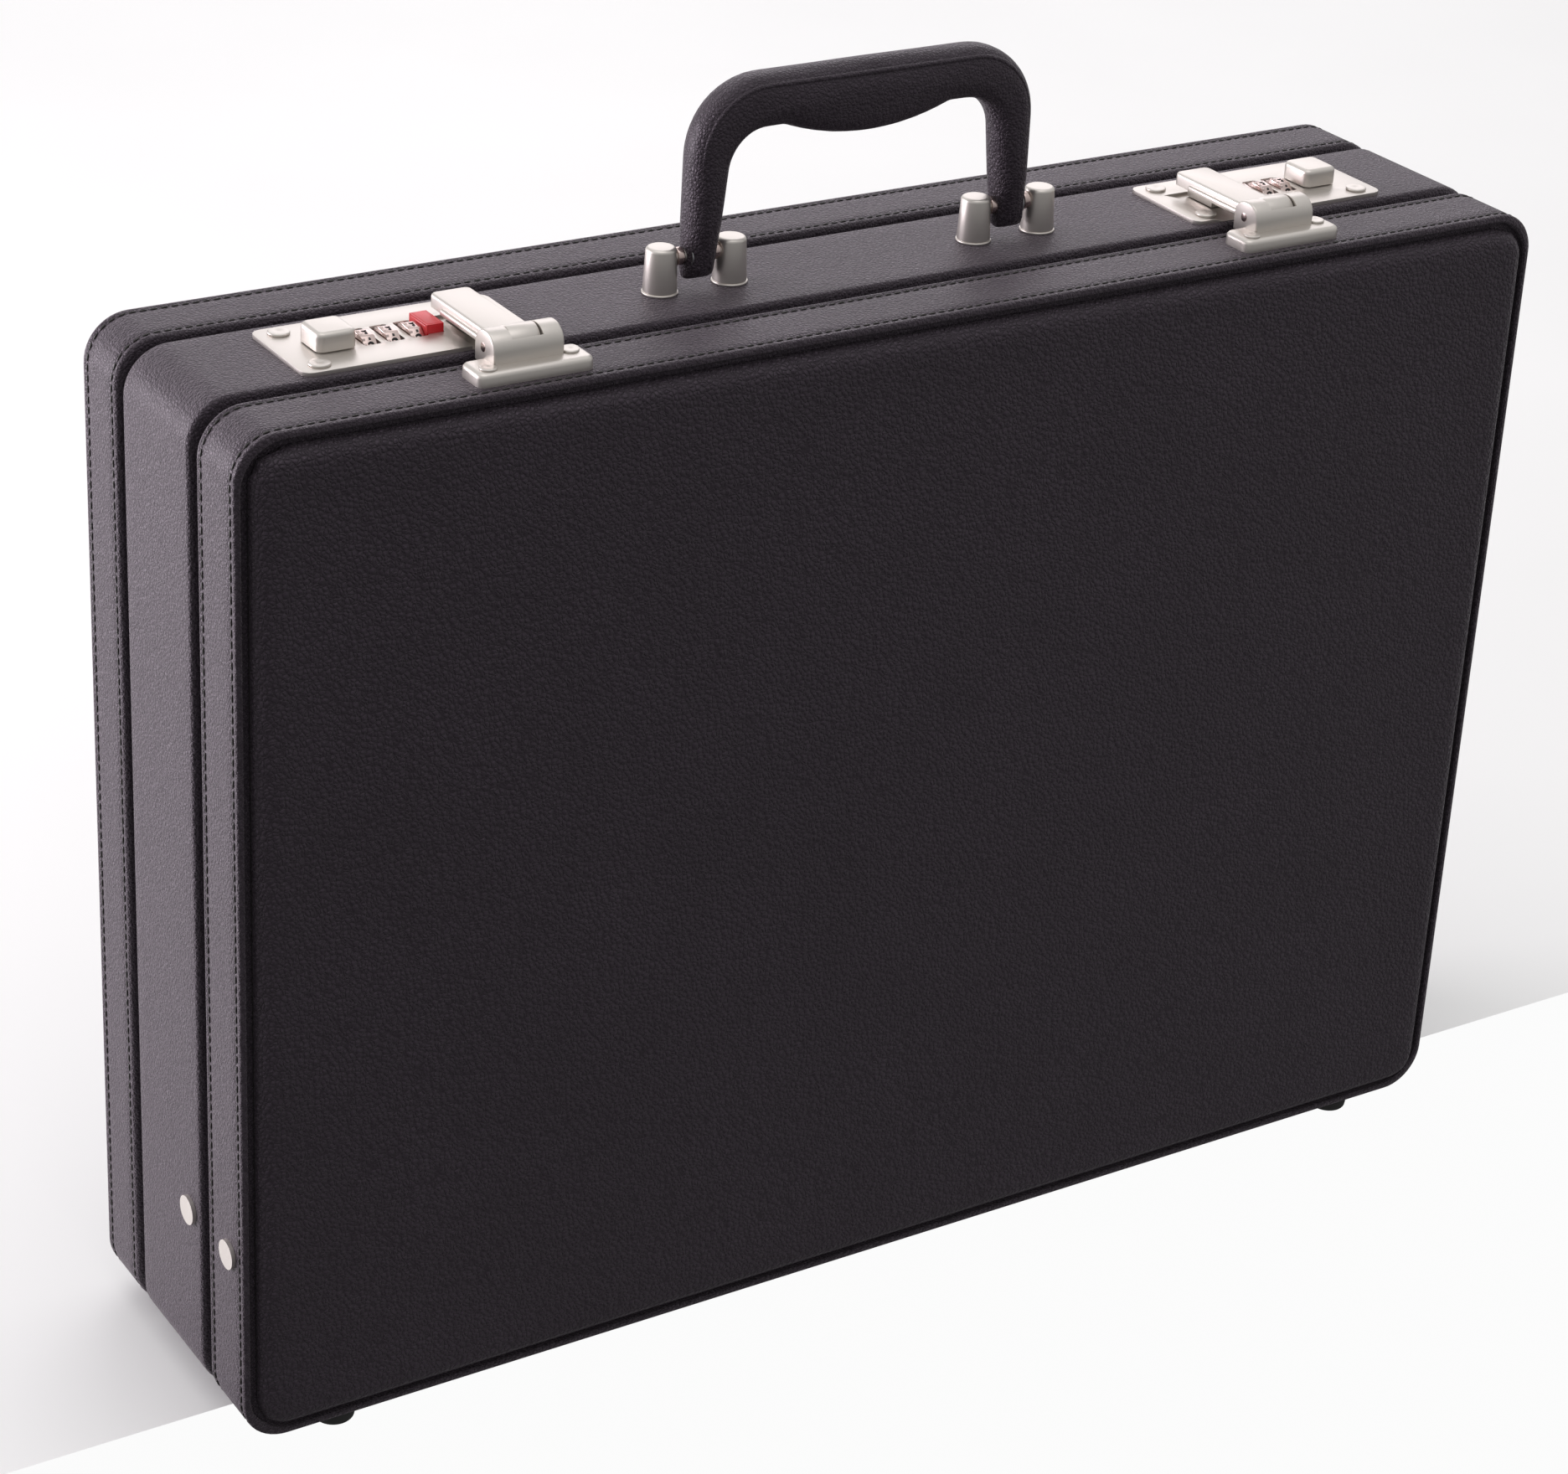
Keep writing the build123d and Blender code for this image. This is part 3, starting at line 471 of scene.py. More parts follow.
def scattered(name, source, matrices):
    """Many copies of one small shape in one mesh."""
    gathered = bmesh.new()
    for matrix in matrices:
        single = source.data.copy()
        single.transform(matrix)
        gathered.from_mesh(single)
        bpy.data.meshes.remove(single)
    mesh = bpy.data.meshes.new(name)
    gathered.to_mesh(mesh)
    gathered.free()
    piece = bpy.data.objects.new(name, mesh)
    bpy.context.scene.collection.objects.link(piece)
    bpy.data.objects.remove(source)
    return piece


# ---------------------------------------------------------------- the case's rounded outline
def outline_place(distance, inset, half_w, low_z, high_z, corner):
    """The point at a distance round the outline, with its outward direction and its way along."""
    half_h = (high_z - low_z) / 2 - inset
    half = half_w - inset
    mid_z = (low_z + high_z) / 2
    radius = max(corner - inset, 0.2 * MM)
    arc = radius * pi / 2
    flat_w = 2 * (half - radius)
    flat_h = 2 * (half_h - radius)
    distance %= 2 * (flat_w + flat_h) + 4 * arc
    sides = ((flat_w, (1, 0), (-half + radius, -half_h), (0, -1)),
             (flat_h, (0, 1), (half, -half_h + radius), (1, 0)),
             (flat_w, (-1, 0), (half - radius, half_h), (0, 1)),
             (flat_h, (0, -1), (-half, half_h - radius), (-1, 0)))
    for length, way, start, outward in sides:
        if distance < length:
            point = (start[0] + way[0] * distance, start[1] + way[1] * distance)
            return Vector((point[0], 0, mid_z + point[1])), Vector((outward[0], 0, outward[1]))
        distance -= length
        if distance < arc:
            turn = distance / radius
            out = Vector((outward[0] * cos(turn) + way[0] * sin(turn), 0,
                          outward[1] * cos(turn) + way[1] * sin(turn)))
            pivot = (start[0] + way[0] * length - outward[0] * radius,
                     start[1] + way[1] * length - outward[1] * radius)
            return Vector((pivot[0], 0, mid_z + pivot[1])) + out * radius, out
        distance -= arc
    return Vector((0, 0, mid_z)), Vector((0, 0, 1))


def outline_length(inset, half_w, low_z, high_z, corner):
    """The distance once round the outline."""
    radius = max(corner - inset, 0.2 * MM)
    return 2 * (2 * (half_w - inset - radius) + high_z - low_z - 2 * inset - 2 * radius) + tau * radius


def single_stitch():
    """One stitch: a slack length of thread with rounded ends, along X, standing out along Z."""
    nothing_selected()
    bpy.ops.mesh.primitive_uv_sphere_add(segments=8, ring_count=6, radius=0.5)
    stitch = named("stitch")
    stitch.data.transform(Matrix.Rotation(pi / 2, 4, "Y"))
    stitch.data.transform(Matrix.Diagonal((sizes().stitch_length, sizes().thread, 0.8 * sizes().thread, 1)))
    return stitch


def stitched_outline(name, rows, body):
    """Lines of stitches round the case; each row is (y, inset)."""
    outline = (HALF_WIDTH, CASE_BOTTOM, CASE_TOP, CORNER)
    slant = Matrix.Rotation(radians(5.0), 4, "Z")
    matrices = []
    for y, inset in rows:
        total = outline_length(inset, *outline)
        count = round(total / sizes().stitch_pitch)
        for index in range(count):
            point, out = outline_place(index * total / count, inset, *outline)
            along = Vector((0, 1, 0)).cross(out)
            turn = Matrix((along, Vector((0, 1, 0)), out)).transposed().to_4x4()
            matrices.append(Matrix.Translation((point.x, y, point.z)) @ turn @ slant)
    piece = scattered(name, single_stitch(), matrices)
    return put(piece, body, "waxed_thread", smooth=80.0)


# ---------------------------------------------------------------- leather covers
def section_stations(y0, y1, rolls, rows):
    """Across the band from y0 to y1: (y, inset) of the leather's outer face, with its edges rolled
    and a groove at each stitched row."""
    turns = [step / 5 * pi / 2 for step in range(6)]
    stations = [(y0 + rolls[0] * (1 - cos(turn)), rolls[0] * (1 - sin(turn))) for turn in turns]
    marks = [y0 + rolls[0]] + sorted(rows) + [y1 - rolls[1]]
    for start, end in zip(marks, marks[1:]):
        for step in range(1, 8):
            y = start + (end - start) * step / 8
            stations.append((y, 0.0))
    for y in rows:
        for shift, share in ((-0.7, 0.55), (0.0, 1.0), (0.7, 0.55)):
            stations.append((y + shift * MM, share * sizes().seam_depth))
        stations = [s for s in stations if not (abs(s[0] - y) < 1.3 * MM and s[1] == 0.0)]
    stations += [(y1 - rolls[1] * (1 - cos(turn)), rolls[1] * (1 - sin(turn))) for turn in turns]
    return sorted(set(stations))


def leather_cover(name, node, rows, thin_rim=None):
    """One leather-covered wall: rolled edges, grooves along the lines of stitches, and the leather
    turned in over the edges as far as the wall's inner face. A thin rim is folded back at once."""
    low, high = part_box(node)
    cover = block(name, low, high)
    edit_select(cover, "FACE", lambda face: abs(face.normal.y) > 0.9)
    bpy.ops.mesh.delete(type="ONLY_FACE")
    done_editing()
    bevel_edges(cover, lambda edge: runs_along(edge, 1), CORNER, 12)
    rolls = [sizes().rim_roll if y == thin_rim else sizes().edge_roll for y in (low.y, high.y)]
    stations = section_stations(low.y, high.y, rolls, rows)
    for y, inset in stations[1:-1]:
        only(cover)
        bpy.ops.object.mode_set(mode="EDIT")
        bpy.ops.mesh.select_all(action="SELECT")
        bpy.ops.mesh.bisect(plane_co=(0, y, 0), plane_no=(0, 1, 0))
        done_editing()
    middle = Vector((0, 0, (low.z + high.z) / 2))

    def draw_in(y, inset):
        bpy.ops.transform.resize(value=(1 - inset / high.x, 1, 1 - 2 * inset / (high.z - low.z)),
                                 center_override=middle + Vector((0, y, 0)))
        done_editing()

    for y, inset in stations:
        if inset > 0:
            edit_select(cover, "VERT", lambda vert: abs(vert.co.y - y) < 1e-6)
            draw_in(y, inset)
    for y, roll, inwards in ((low.y, rolls[0], 1), (high.y, rolls[1], -1)):
        edit_select(cover, "EDGE", lambda edge: all(abs(v.co.y - y) < 1e-6 for v in edge.verts))
        bpy.ops.mesh.extrude_edges_move()
        if y == thin_rim:
            draw_in(y, RIM_LIP - roll - 0.5 * MM)
            y += 0.5 * MM * inwards
            edit_select(cover, "EDGE", lambda edge: edge.is_boundary
                        and edge.verts[0].co.y * inwards < y * inwards)
            bpy.ops.mesh.extrude_edges_move(TRANSFORM_OT_translate={"value": (0, 0.5 * MM * inwards, 0)})
            draw_in(y, 0.5 * MM)
            edit_select(cover, "EDGE", lambda edge: edge.is_boundary and abs(edge.verts[0].co.y - y) < 1e-6)
            bpy.ops.mesh.extrude_edges_move(
                TRANSFORM_OT_translate={"value": (0, (RIM_DEPTH - 0.6 * MM) * inwards, 0)})
            bpy.ops.mesh.extrude_edges_move()
            draw_in(y, WALL + 0.1 * MM - RIM_LIP)
        else:
            draw_in(y, WALL + 0.1 * MM - roll)
    edit_select(cover, "EDGE", lambda edge: edge.is_boundary)
    bpy.ops.mesh.bridge_edge_loops()
    bpy.ops.mesh.select_all(action="SELECT")
    bpy.ops.mesh.normals_make_consistent(inside=False)
    done_editing()
    return cover


class CASE_OT_leather_covers(bpy.types.Operator):
    """The three leather-covered walls, with their lines of stitches."""
    bl_idname = "case.leather_covers"
    bl_label = "Leather covers"

    def execute(self, context):
        lid_rows = (LID_LOW.y + 3.0 * MM, LID_HIGH.y - 3.2 * MM)
        rear_rows = (REAR_LOW.y + 3.2 * MM, REAR_HIGH.y - 3.0 * MM)
        lid = leather_cover("lid_cover", "lid_leather", lid_rows, LID_LOW.y)
        put(lid, "lid", "band_calf", ("lid_leather",))
        band = leather_cover("band_cover", "band_leather", ())
        for side in SIDES:
            body_low, body_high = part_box("lock_body_" + side)
            clear = Vector((0.3 * MM, 0.3 * MM, 0))
            hole = block("lock_hole", body_low - clear - Vector((0, 0, 3 * MM)),
                         Vector((body_high.x, body_high.y, CASE_TOP + 3 * MM)) + clear)
            less(band, hole)
        put(band, "case_body", "band_calf", ("band_leather",))
        rear = leather_cover("rear_cover", "rear_leather", rear_rows, REAR_HIGH.y)
        put(rear, "rear_section", "band_calf", ("rear_leather",))
        sunk = 0.18 * MM
        stitched_outline("lid_stitching", [(y, sunk) for y in lid_rows], "lid")
        stitched_outline("rear_stitching", [(y, sunk) for y in rear_rows], "rear_section")
        return {"FINISHED"}


# ---------------------------------------------------------------- padded panels
def swell(piece, pressure, most, held):
    """Swells a closed piece as padding does: cloth under pressure, where held(x, y, z) tells how
    far from 0 to 1 a point may follow it, and most is the most that it may move."""
    count = len(piece.data.vertices)
    before = np.empty(count * 3)
    piece.data.vertices.foreach_get("co", before)
    only(piece)
    group = piece.vertex_groups.new(name="held")
    for vertex in piece.data.vertices:
        weight = 1.0 - held(vertex.co)
        if weight > 0.0:
            group.add([vertex.index], weight, "REPLACE")
    modifier = piece.modifiers.new("cloth", "CLOTH")
    modifier.settings.quality = 5
    modifier.settings.use_pressure = True
    modifier.settings.uniform_pressure_force = pressure
    modifier.settings.vertex_group_mass = "held"
    modifier.settings.effector_weights.gravity = 0.0
    modifier.point_cache.frame_start = 1
    modifier.point_cache.frame_end = 20
    for number in range(1, 21):
        bpy.context.scene.frame_set(number)
    only(piece)
    bpy.ops.object.modifier_apply(modifier=modifier.name)
    bpy.context.scene.frame_set(1)
    after = np.empty(count * 3)
    piece.data.vertices.foreach_get("co", after)
    moved = (after - before).reshape(-1, 3)
    lengths = np.linalg.norm(moved, axis=1)
    largest = max(float(lengths.max()), 1e-9)
    scale = most / largest if largest > most else 1.0
    piece.data.vertices.foreach_set("co", (before.reshape(-1, 3) + moved * scale).ravel())
    piece.data.update()
    piece.vertex_groups.clear()


def padded_panel(name, node):
    """A leather panel drawn over foam: rolled rim, rounded corners, a low crown."""
    low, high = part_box(node)
    panel = block(name, low, high)
    bevel_edges(panel, lambda edge: runs_along(edge, 1), CORNER - RIM_LIP - 2.2 * MM, 10)
    front = low.y
    bevel_edges(panel, lambda edge: all(abs(v.co.y - front) < 1e-6 for v in edge.verts), 4.6 * MM, 6)
    applied(panel, "REMESH", mode="VOXEL", voxel_size=2.6 * MM)
    applied(panel, "SMOOTH", factor=0.5, iterations=3)
    half = Vector(((high.x - low.x) / 2, 0, (high.z - low.z) / 2))
    middle_z = (low.z + high.z) / 2

    def follows(place):
        if place.y > front + 4.8 * MM:
            return 0.0
        rim = min(half.x - abs(place.x), half.z - abs(place.z - middle_z))
        return min(1.0, max(0.0, rim / (30.0 * MM)))

    swell(panel, 4.0, sizes().pad_swell, follows)
    return panel


class CASE_OT_padded_panels(bpy.types.Operator):
    """The padded leather panels on the lid's front and on the back."""
    bl_idname = "case.padded_panels"
    bl_label = "Padded panels"

    def execute(self, context):
        front = padded_panel("front_panel", "front_pad")
        back = own_copy(front, "back_panel", Matrix.Scale(-1.0, 4, (0.0, 1.0, 0.0)))
        put(front, "lid", "panel_calf", ("front_pad",), 60.0)
        put(back, "rear_section", "panel_calf", ("rear_pad",), 60.0)
        return {"FINISHED"}


# ---------------------------------------------------------------- locks
def rivet_head(name, x, y, z, radius, rise):
    """A domed rivet head with a rounded rim and a shallow dimple."""
    head = turned(name, (x, y, z + rise / 2), "Z", radius, rise, sides=40)
    rounded(head, 0.45 * rise, 4)
    edit_select(head, "FACE", lambda face: face.normal.z > 0.99)
    bpy.ops.mesh.inset(thickness=0.45 * radius, depth=0.12 * rise)
    bpy.ops.mesh.inset(thickness=0.25 * radius, depth=-0.25 * rise)
    done_editing()
    return head


class CASE_OT_locks(bpy.types.Operator):
    """The lock plates with their windows and hook recess, the rivets and the release buttons."""
    bl_idname = "case.locks"
    bl_label = "Locks"

    def execute(self, context):
        low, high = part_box("lock_plate_right")
        plate = block("lock_plate_right_nickel", low, high)
        bevel_edges(plate, lambda edge: runs_along(edge, 2), 3.2 * MM, 3)
        cutters = []
        wheels = [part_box("dial_%d_right" % number) for number in (1, 2, 3)]
        middle_y = (wheels[0][0].y + wheels[0][1].y) / 2
        for wheel_low, wheel_high in wheels:
            window = block("window", (wheel_low.x - 0.5 * MM, middle_y - 6.6 * MM, low.z - MM),
                           (wheel_high.x + 0.5 * MM, middle_y + 6.6 * MM, high.z + MM))
            bevel_edges(window, lambda edge: runs_along(edge, 2), 0.8 * MM, 3)
            cutters.append(window)
        red_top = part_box("lock_body_right")[1].z
        arm_low, arm_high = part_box("hasp_arm_right")
        arm_x = (arm_low.x + arm_high.x) / 2
        recess = block("recess", (arm_x - 6 * MM, low.y - MM, low.z + 0.15 * MM),
                       (arm_x + 6 * MM, middle_y + 6.5 * MM, high.z + MM))
        edit_select(recess, "VERT", lambda vert: vert.co.x < arm_x and vert.co.z > high.z)
        bpy.ops.transform.translate(value=(-9.0 * MM, 0, 0))
        done_editing()
        cutters.append(recess)
        red_x0, red_x1 = RED_PAD
        cutters.append(block("red_window", (red_x0 - 0.2 * MM, middle_y - 5.8 * MM, low.z - MM),
                             (red_x1 + 0.2 * MM, middle_y + 5.8 * MM, high.z + MM)))
        less(plate, *cutters)
        rounded(plate, 0.35 * MM, 3, 40.0)
        pad = block("red_pad_right", (red_x0 - 0.1 * MM, middle_y - 5.6 * MM, low.z - 2 * MM),
                    (red_x1 + 0.1 * MM, middle_y + 5.6 * MM, red_top + 0.1 * MM))
        bevel_edges(pad, lambda edge: runs_along(edge, 2), 1.2 * MM, 4)
        rounded(pad, 0.9 * MM, 4, 50.0)
        button_low, button_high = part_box("button_right")
        rise = 5.6 * MM
        cap = block("button_right_cap", (button_low.x, button_low.y, button_high.z - rise), button_high)
        bevel_edges(cap, lambda edge: runs_along(edge, 2), 2.4 * MM, 5)
        top_z = button_high.z
        bevel_edges(cap, lambda edge: all(abs(v.co.z - top_z) < 1e-6 for v in edge.verts), 1.5 * MM, 5)
        edit_select(cap, "FACE", lambda face: face.normal.z < -0.99)
        bpy.ops.mesh.inset(thickness=1.2 * MM, depth=0)
        bpy.ops.mesh.extrude_region_move(TRANSFORM_OT_translate={"value": (0, 0, -0.35 * MM)})
        done_editing()
        rivet_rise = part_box("lock_plate_rivets")[1].z - high.z
        radius = 3.3 * MM
        heads = []
        for x in (low.x + 7 * MM, high.x - 7 * MM):
            for y in (low.y + 5 * MM, high.y - 5 * MM):
                heads.append(rivet_head("rivet", x, y, high.z - 0.05 * MM, radius, rivet_rise))
        rivets = joined(*heads)
        rivets.name = "lock_rivets_right"
        for shape, body, slot, look, stands_for in (
                (plate, "case_body", "satin_nickel", "satin_nickel", "lock_plate_%s"),
                (pad, "case_body", "red_plastic", "red_abs", None),
                (cap, "release_%s", "satin_nickel", "satin_nickel", "button_%s"),
                (rivets, "case_body", "satin_nickel", "satin_nickel", "lock_plate_rivets")):
            left = own_copy(shape, shape.name.replace("right", "left"), MIRROR)
            for piece, side in ((shape, "right"), (left, "left")):
                put(piece, sided(body, side), look, (sided(stands_for, side),) if stands_for else ())
        return {"FINISHED"}


class CASE_OT_number_wheels(bpy.types.Operator):
    """The number wheels: ten flats with engraved numbers, and a toothed rim."""
    bl_idname = "case.number_wheels"
    bl_label = "Number wheels"

    def numbers(self, radius, first):
        """The ten numbers round one wheel about the X axis, the first of them on top."""
        shapes = []
        for index in range(10):
            nothing_selected()
            bpy.ops.object.text_add()
            text = bpy.context.object
            text.data.body = str((first + index) % 10)
            text.data.size = 4.6 * MM
            text.data.align_x = "CENTER"
            text.data.align_y = "CENTER"
            text.data.extrude = 0.12 * MM
            text.data.offset = 0.07 * MM
            text.data.resolution_u = 3
            bpy.ops.object.convert(target="MESH")
            shape = bpy.context.object
            turn = Matrix.Rotation(index * tau / 10, 4, "X")
            shape.data.transform(turn @ Matrix.Translation((0, 0, radius)))
            shapes.append(shape)
        return joined(*shapes)

    def execute(self, context):
        low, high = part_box("dial_1_right")
        radius = (high.y - low.y) / 2
        width = high.x - low.x
        wheel = turned("wheel", (0, 0, 0), "X", radius, width, sides=10)
        wheel.data.transform(Matrix.Rotation(pi / 10, 4, "X"))
        rounded(wheel, 0.35 * MM, 3)
        tooth = turned("teeth", (-width / 2 + 0.55 * MM, 0, 0), "X", radius, 0.9 * MM, sides=40)
        edit_select(tooth, "EDGE", lambda edge: runs_along(edge, 0) and edge.index % 2 == 0)
        bpy.ops.transform.resize(value=(1, 0.93, 0.93), center_override=(0, 0, 0))
        done_editing()
        ring = joined(wheel, tooth)
        for side in SIDES:
            for number in (1, 2, 3):
                node = "dial_%d_%s" % (number, side)
                low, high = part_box(node)
                move = Matrix.Translation((low + high) / 2) @ Matrix.Rotation(radians(24), 4, "X")
                turned_wheel = own_copy(ring, node + "_wheel", move)
                put(turned_wheel, "number_wheel_%d_%s" % (number, side),
                    "polished_nickel", (node,))
                marks = self.numbers(radius * cos(pi / 10) - 0.02 * MM, 1)
                marks.name = node + "_numbers"
                marks.data.transform(move @ Matrix.Translation((0.3 * MM, 0, 0)))
                put(marks, "number_wheel_%d_%s" % (number, side), "number_enamel")
        bpy.data.objects.remove(ring)
        return {"FINISHED"}


# ---------------------------------------------------------------- hasps
class CASE_OT_hasps(bpy.types.Operator):
    """The hasps: a bevelled base with its barrel on the lid, and the arm that reaches the lock."""
    bl_idname = "case.hasps"
    bl_label = "Hasps"

    def execute(self, context):
        low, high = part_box("hasp_base_right")
        pin_low, pin_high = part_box("hasp_pins")
        arm_low, arm_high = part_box("hasp_arm_right")
        axis = Vector(((low.x + high.x) / 2, (pin_low.y + pin_high.y) / 2, (pin_low.z + pin_high.z) / 2))
        radius = high.z - axis.z
        half = pin_high.x - axis.x
        split = 4.95 * MM
        base_top = CASE_TOP + 4.0 * MM
        base_back = low.y + HASP_BASE_DEPTH
        base = block("hasp_base_right_nickel", low, (high.x, base_back, base_top))
        bevel_edges(base, lambda edge: runs_along(edge, 2), 2.6 * MM, 4)
        bevel_edges(base, lambda edge: all(abs(v.co.z - base_top) < 1e-6 for v in edge.verts), 1.5 * MM, 3)
        less(base, turned("well", axis, "X", radius + 0.45 * MM, 2 * split))
        front = axis.y - radius - 1.4 * MM
        crown = axis.z + radius
        shell = block("barrel_shell", (axis.x - half, front, CASE_TOP + 1.8 * MM),
                      (axis.x + half, axis.y + radius, crown))
        bevel_edges(shell, lambda edge: runs_along(edge, 0) and edge.verts[0].co.z > crown - 1e-6,
                    radius * 1.05, 12)
        bevel_edges(shell, lambda edge: abs(abs(edge.verts[0].co.x - axis.x) - half) < 1e-6
                    and abs(edge.verts[0].co.x - edge.verts[1].co.x) < 1e-6, 0.7 * MM, 3)
        less(shell, block("middle", (axis.x - split, axis.y - radius - 0.2 * MM, CASE_TOP),
                          (axis.x + split, high.y + 9 * MM, crown + MM)))
        base = joined(base, shell)
        rivets = []
        reach = (high.x - low.x) / 2 - 4.6 * MM
        rivet_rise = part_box("hasp_rivets")[1].z - base_top
        for x, y in ((axis.x - reach, low.y + 4.0 * MM), (axis.x + reach, base_back - 5.6 * MM)):
            rivets.append(rivet_head("rivet", x, y, base_top - 0.05 * MM, 2.6 * MM, rivet_rise))
        rivets = joined(*rivets)
        rivets.name = "hasp_rivets_right"

        arm_z0 = CASE_TOP + 4.5 * MM
        arm_z1 = arm_z0 + 4.0 * MM
        nose = arm_high.y
        arm = block("hasp_arm_right_nickel", (axis.x - 6.5 * MM, axis.y + radius + 0.6 * MM, arm_z0),
                    (axis.x + 6.5 * MM, nose, arm_z1))
        bevel_edges(arm, lambda edge: runs_along(edge, 2) and edge.verts[0].co.y > nose - 1e-6, 2.0 * MM, 4)
        bevel_edges(arm, lambda edge: all(v.co.z > arm_z1 - 1e-6 for v in edge.verts), 0.9 * MM, 3)
        flange = block("flange", (arm_low.x, axis.y + radius + 0.5 * MM, arm_z0 + 0.02 * MM),
                       (arm_high.x, nose - 8 * MM, arm_z0 + 1.8 * MM))
        bevel_edges(flange, lambda edge: runs_along(edge, 2), 1.2 * MM, 3)
        rounded(flange, 0.4 * MM, 2, 50.0)
        neck = block("neck", (axis.x - split + 0.4 * MM, axis.y, arm_z0 + 0.05 * MM),
                     (axis.x + split - 0.4 * MM, axis.y + radius + 2 * MM, arm_z1 - 0.4 * MM))
        barrel = turned("barrel", axis, "X", radius - 0.02 * MM, 2 * split - 0.7 * MM, sides=56)
        rounded(barrel, 0.25 * MM, 2)
        hook = block("hook", (axis.x - 2.5 * MM, nose - 15.3 * MM, CASE_TOP + 0.35 * MM),
                     (axis.x + 2.5 * MM, nose - 2.3 * MM, arm_z0 + 0.5 * MM))
        rounded(hook, 0.4 * MM, 2)
        arm = joined(arm, flange, neck, barrel, hook)
        pin = turned("hasp_pin_right", axis, "X", 1.4 * MM, 2 * half + 0.3 * MM, sides=24)
        rounded(pin, 0.12 * MM, 2)
        across = Matrix.Translation((-2 * axis.x, 0, 0))
        for shape, way, body, look, stands_for in (
                (base, MIRROR, "lid", "satin_nickel", "hasp_base_%s"),
                (rivets, across, "lid", "satin_nickel", "hasp_rivets"),
                (arm, MIRROR, "hasp_%s", "satin_nickel", "hasp_arm_%s"),
                (pin, MIRROR, "lid", "polished_nickel", "hasp_pins")):
            left = own_copy(shape, shape.name.replace("right", "left"), way)
            for piece, side in ((shape, "right"), (left, "left")):
                put(piece, sided(body, side), look, (sided(stands_for, side),))
        return {"FINISHED"}


# ---------------------------------------------------------------- handle
GRIP_BAR = 17.0 * MM
GRIP_LEG = 12.8 * MM
GRIP_FOOT = 9.8 * MM
GRIP_CORNER = 24.0 * MM
GRIP_HOLE_CORNER = 12.0 * MM
GRIP_BELLY = 5.4 * MM
BELLY_RADIUS = 80.0 * MM
BELLY_HALF = 29.0 * MM
FOOT_TAPER_HEIGHT = 16.0 * MM
POST_XS = (44.0 * MM, 68.0 * MM)


def grip_outline(inset, foot_z):
    """The grip's outer and inner outlines on the +X side, drawn in by inset: (x, z) from a foot up
    to the middle of the bar."""
    low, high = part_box("handle_grip")
    middle = sum(POST_XS) / 2
    bar_z = high.z - GRIP_BAR
    top_half = middle + GRIP_FOOT / 2 - 0.5 * MM
    lines = []
    for foot, top, height, corner, way in (
            (middle + GRIP_FOOT / 2, top_half, high.z, GRIP_CORNER, -1),
            (middle - GRIP_FOOT / 2, top_half - GRIP_LEG, bar_z, GRIP_HOLE_CORNER, 1)):
        share = (foot_z - low.z) / (height - low.z)
        radius = corner + way * inset
        points = [(foot + (top - foot) * share + way * inset, foot_z)]
        for step in range(13):
            turn = step / 12 * pi / 2
            points.append((top - corner + radius * cos(turn), height - corner + radius * sin(turn)))
        points.append((0.0, height + way * inset))
        lines.append(points)
    return lines


def handle_blank(name, inset, edge):
    """The grip before it is padded: a bar on two legs that narrow to their feet, with a swell for
    the fingers under the bar, its edges rounded to edge."""
    low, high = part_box("handle_grip")
    middle_y = (low.y + high.y) / 2
    outer, inner = grip_outline(inset, low.z)
    foot, crown = inner[0], inner[1]
    outline = []
    for step in range(9):
        share = step / 9
        outline.append((outer[0][0] + (outer[1][0] - outer[0][0]) * share,
                        outer[0][1] + (outer[1][1] - outer[0][1]) * share))
    outline += outer[1:]
    roof = inner[-1][1]
    under = [(x, min(z, roof)) for x, z in inner[1:-1]]
    for step in range(12, -1, -1):
        x = step / 12 * BELLY_HALF
        under.append((x, roof - GRIP_BELLY + BELLY_RADIUS - sqrt(BELLY_RADIUS ** 2 - x ** 2)))
    leg = [(foot[0] + (crown[0] - foot[0]) * step / 9, foot[1] + (crown[1] - foot[1]) * step / 9)
           for step in range(9)]
    right = leg + under
    loop = outline + [(-x, z) for x, z in reversed(outline[:-1])] + [(-x, z) for x, z in right]
    loop += list(reversed(right[:-1]))
    curve = bpy.data.curves.new(name, "CURVE")
    curve.dimensions = "2D"
    curve.fill_mode = "BOTH"
    curve.extrude = (high.y - low.y) / 2 - inset - edge
    curve.bevel_depth = edge
    curve.bevel_resolution = 4
    curve.offset = -edge
    spline = curve.splines.new("POLY")
    spline.points.add(len(loop) - 1)
    for point, (x, z) in zip(spline.points, loop):
        point.co = (x, z, 0.0, 1.0)
    spline.use_cyclic_u = True
    grip = bpy.data.objects.new(name, curve)
    bpy.context.scene.collection.objects.link(grip)
    grip.rotation_euler = (pi / 2, 0.0, 0.0)
    grip.location = (0.0, middle_y, 0.0)
    only(grip)
    bpy.ops.object.convert(target="MESH")
    grip = bpy.context.object
    only(grip)
    bpy.ops.object.transform_apply(location=True, rotation=True, scale=True)
    edit_select(grip, "VERT", lambda vert: True)
    bpy.ops.mesh.remove_doubles(threshold=0.00001)
    bpy.ops.mesh.normals_make_consistent(inside=False)
    done_editing()
    applied(grip, "REMESH", mode="VOXEL", voxel_size=1.1 * MM)
    for step in range(8):
        level = low.z + FOOT_TAPER_HEIGHT * (1 - step / 8)
        edit_select(grip, "VERT", lambda vert: vert.co.z < level)
        bpy.ops.transform.resize(value=(1, 0.968, 1), center_override=(0, middle_y, level))
        done_editing()
    applied(grip, "SMOOTH", factor=0.5, iterations=6)
    return grip


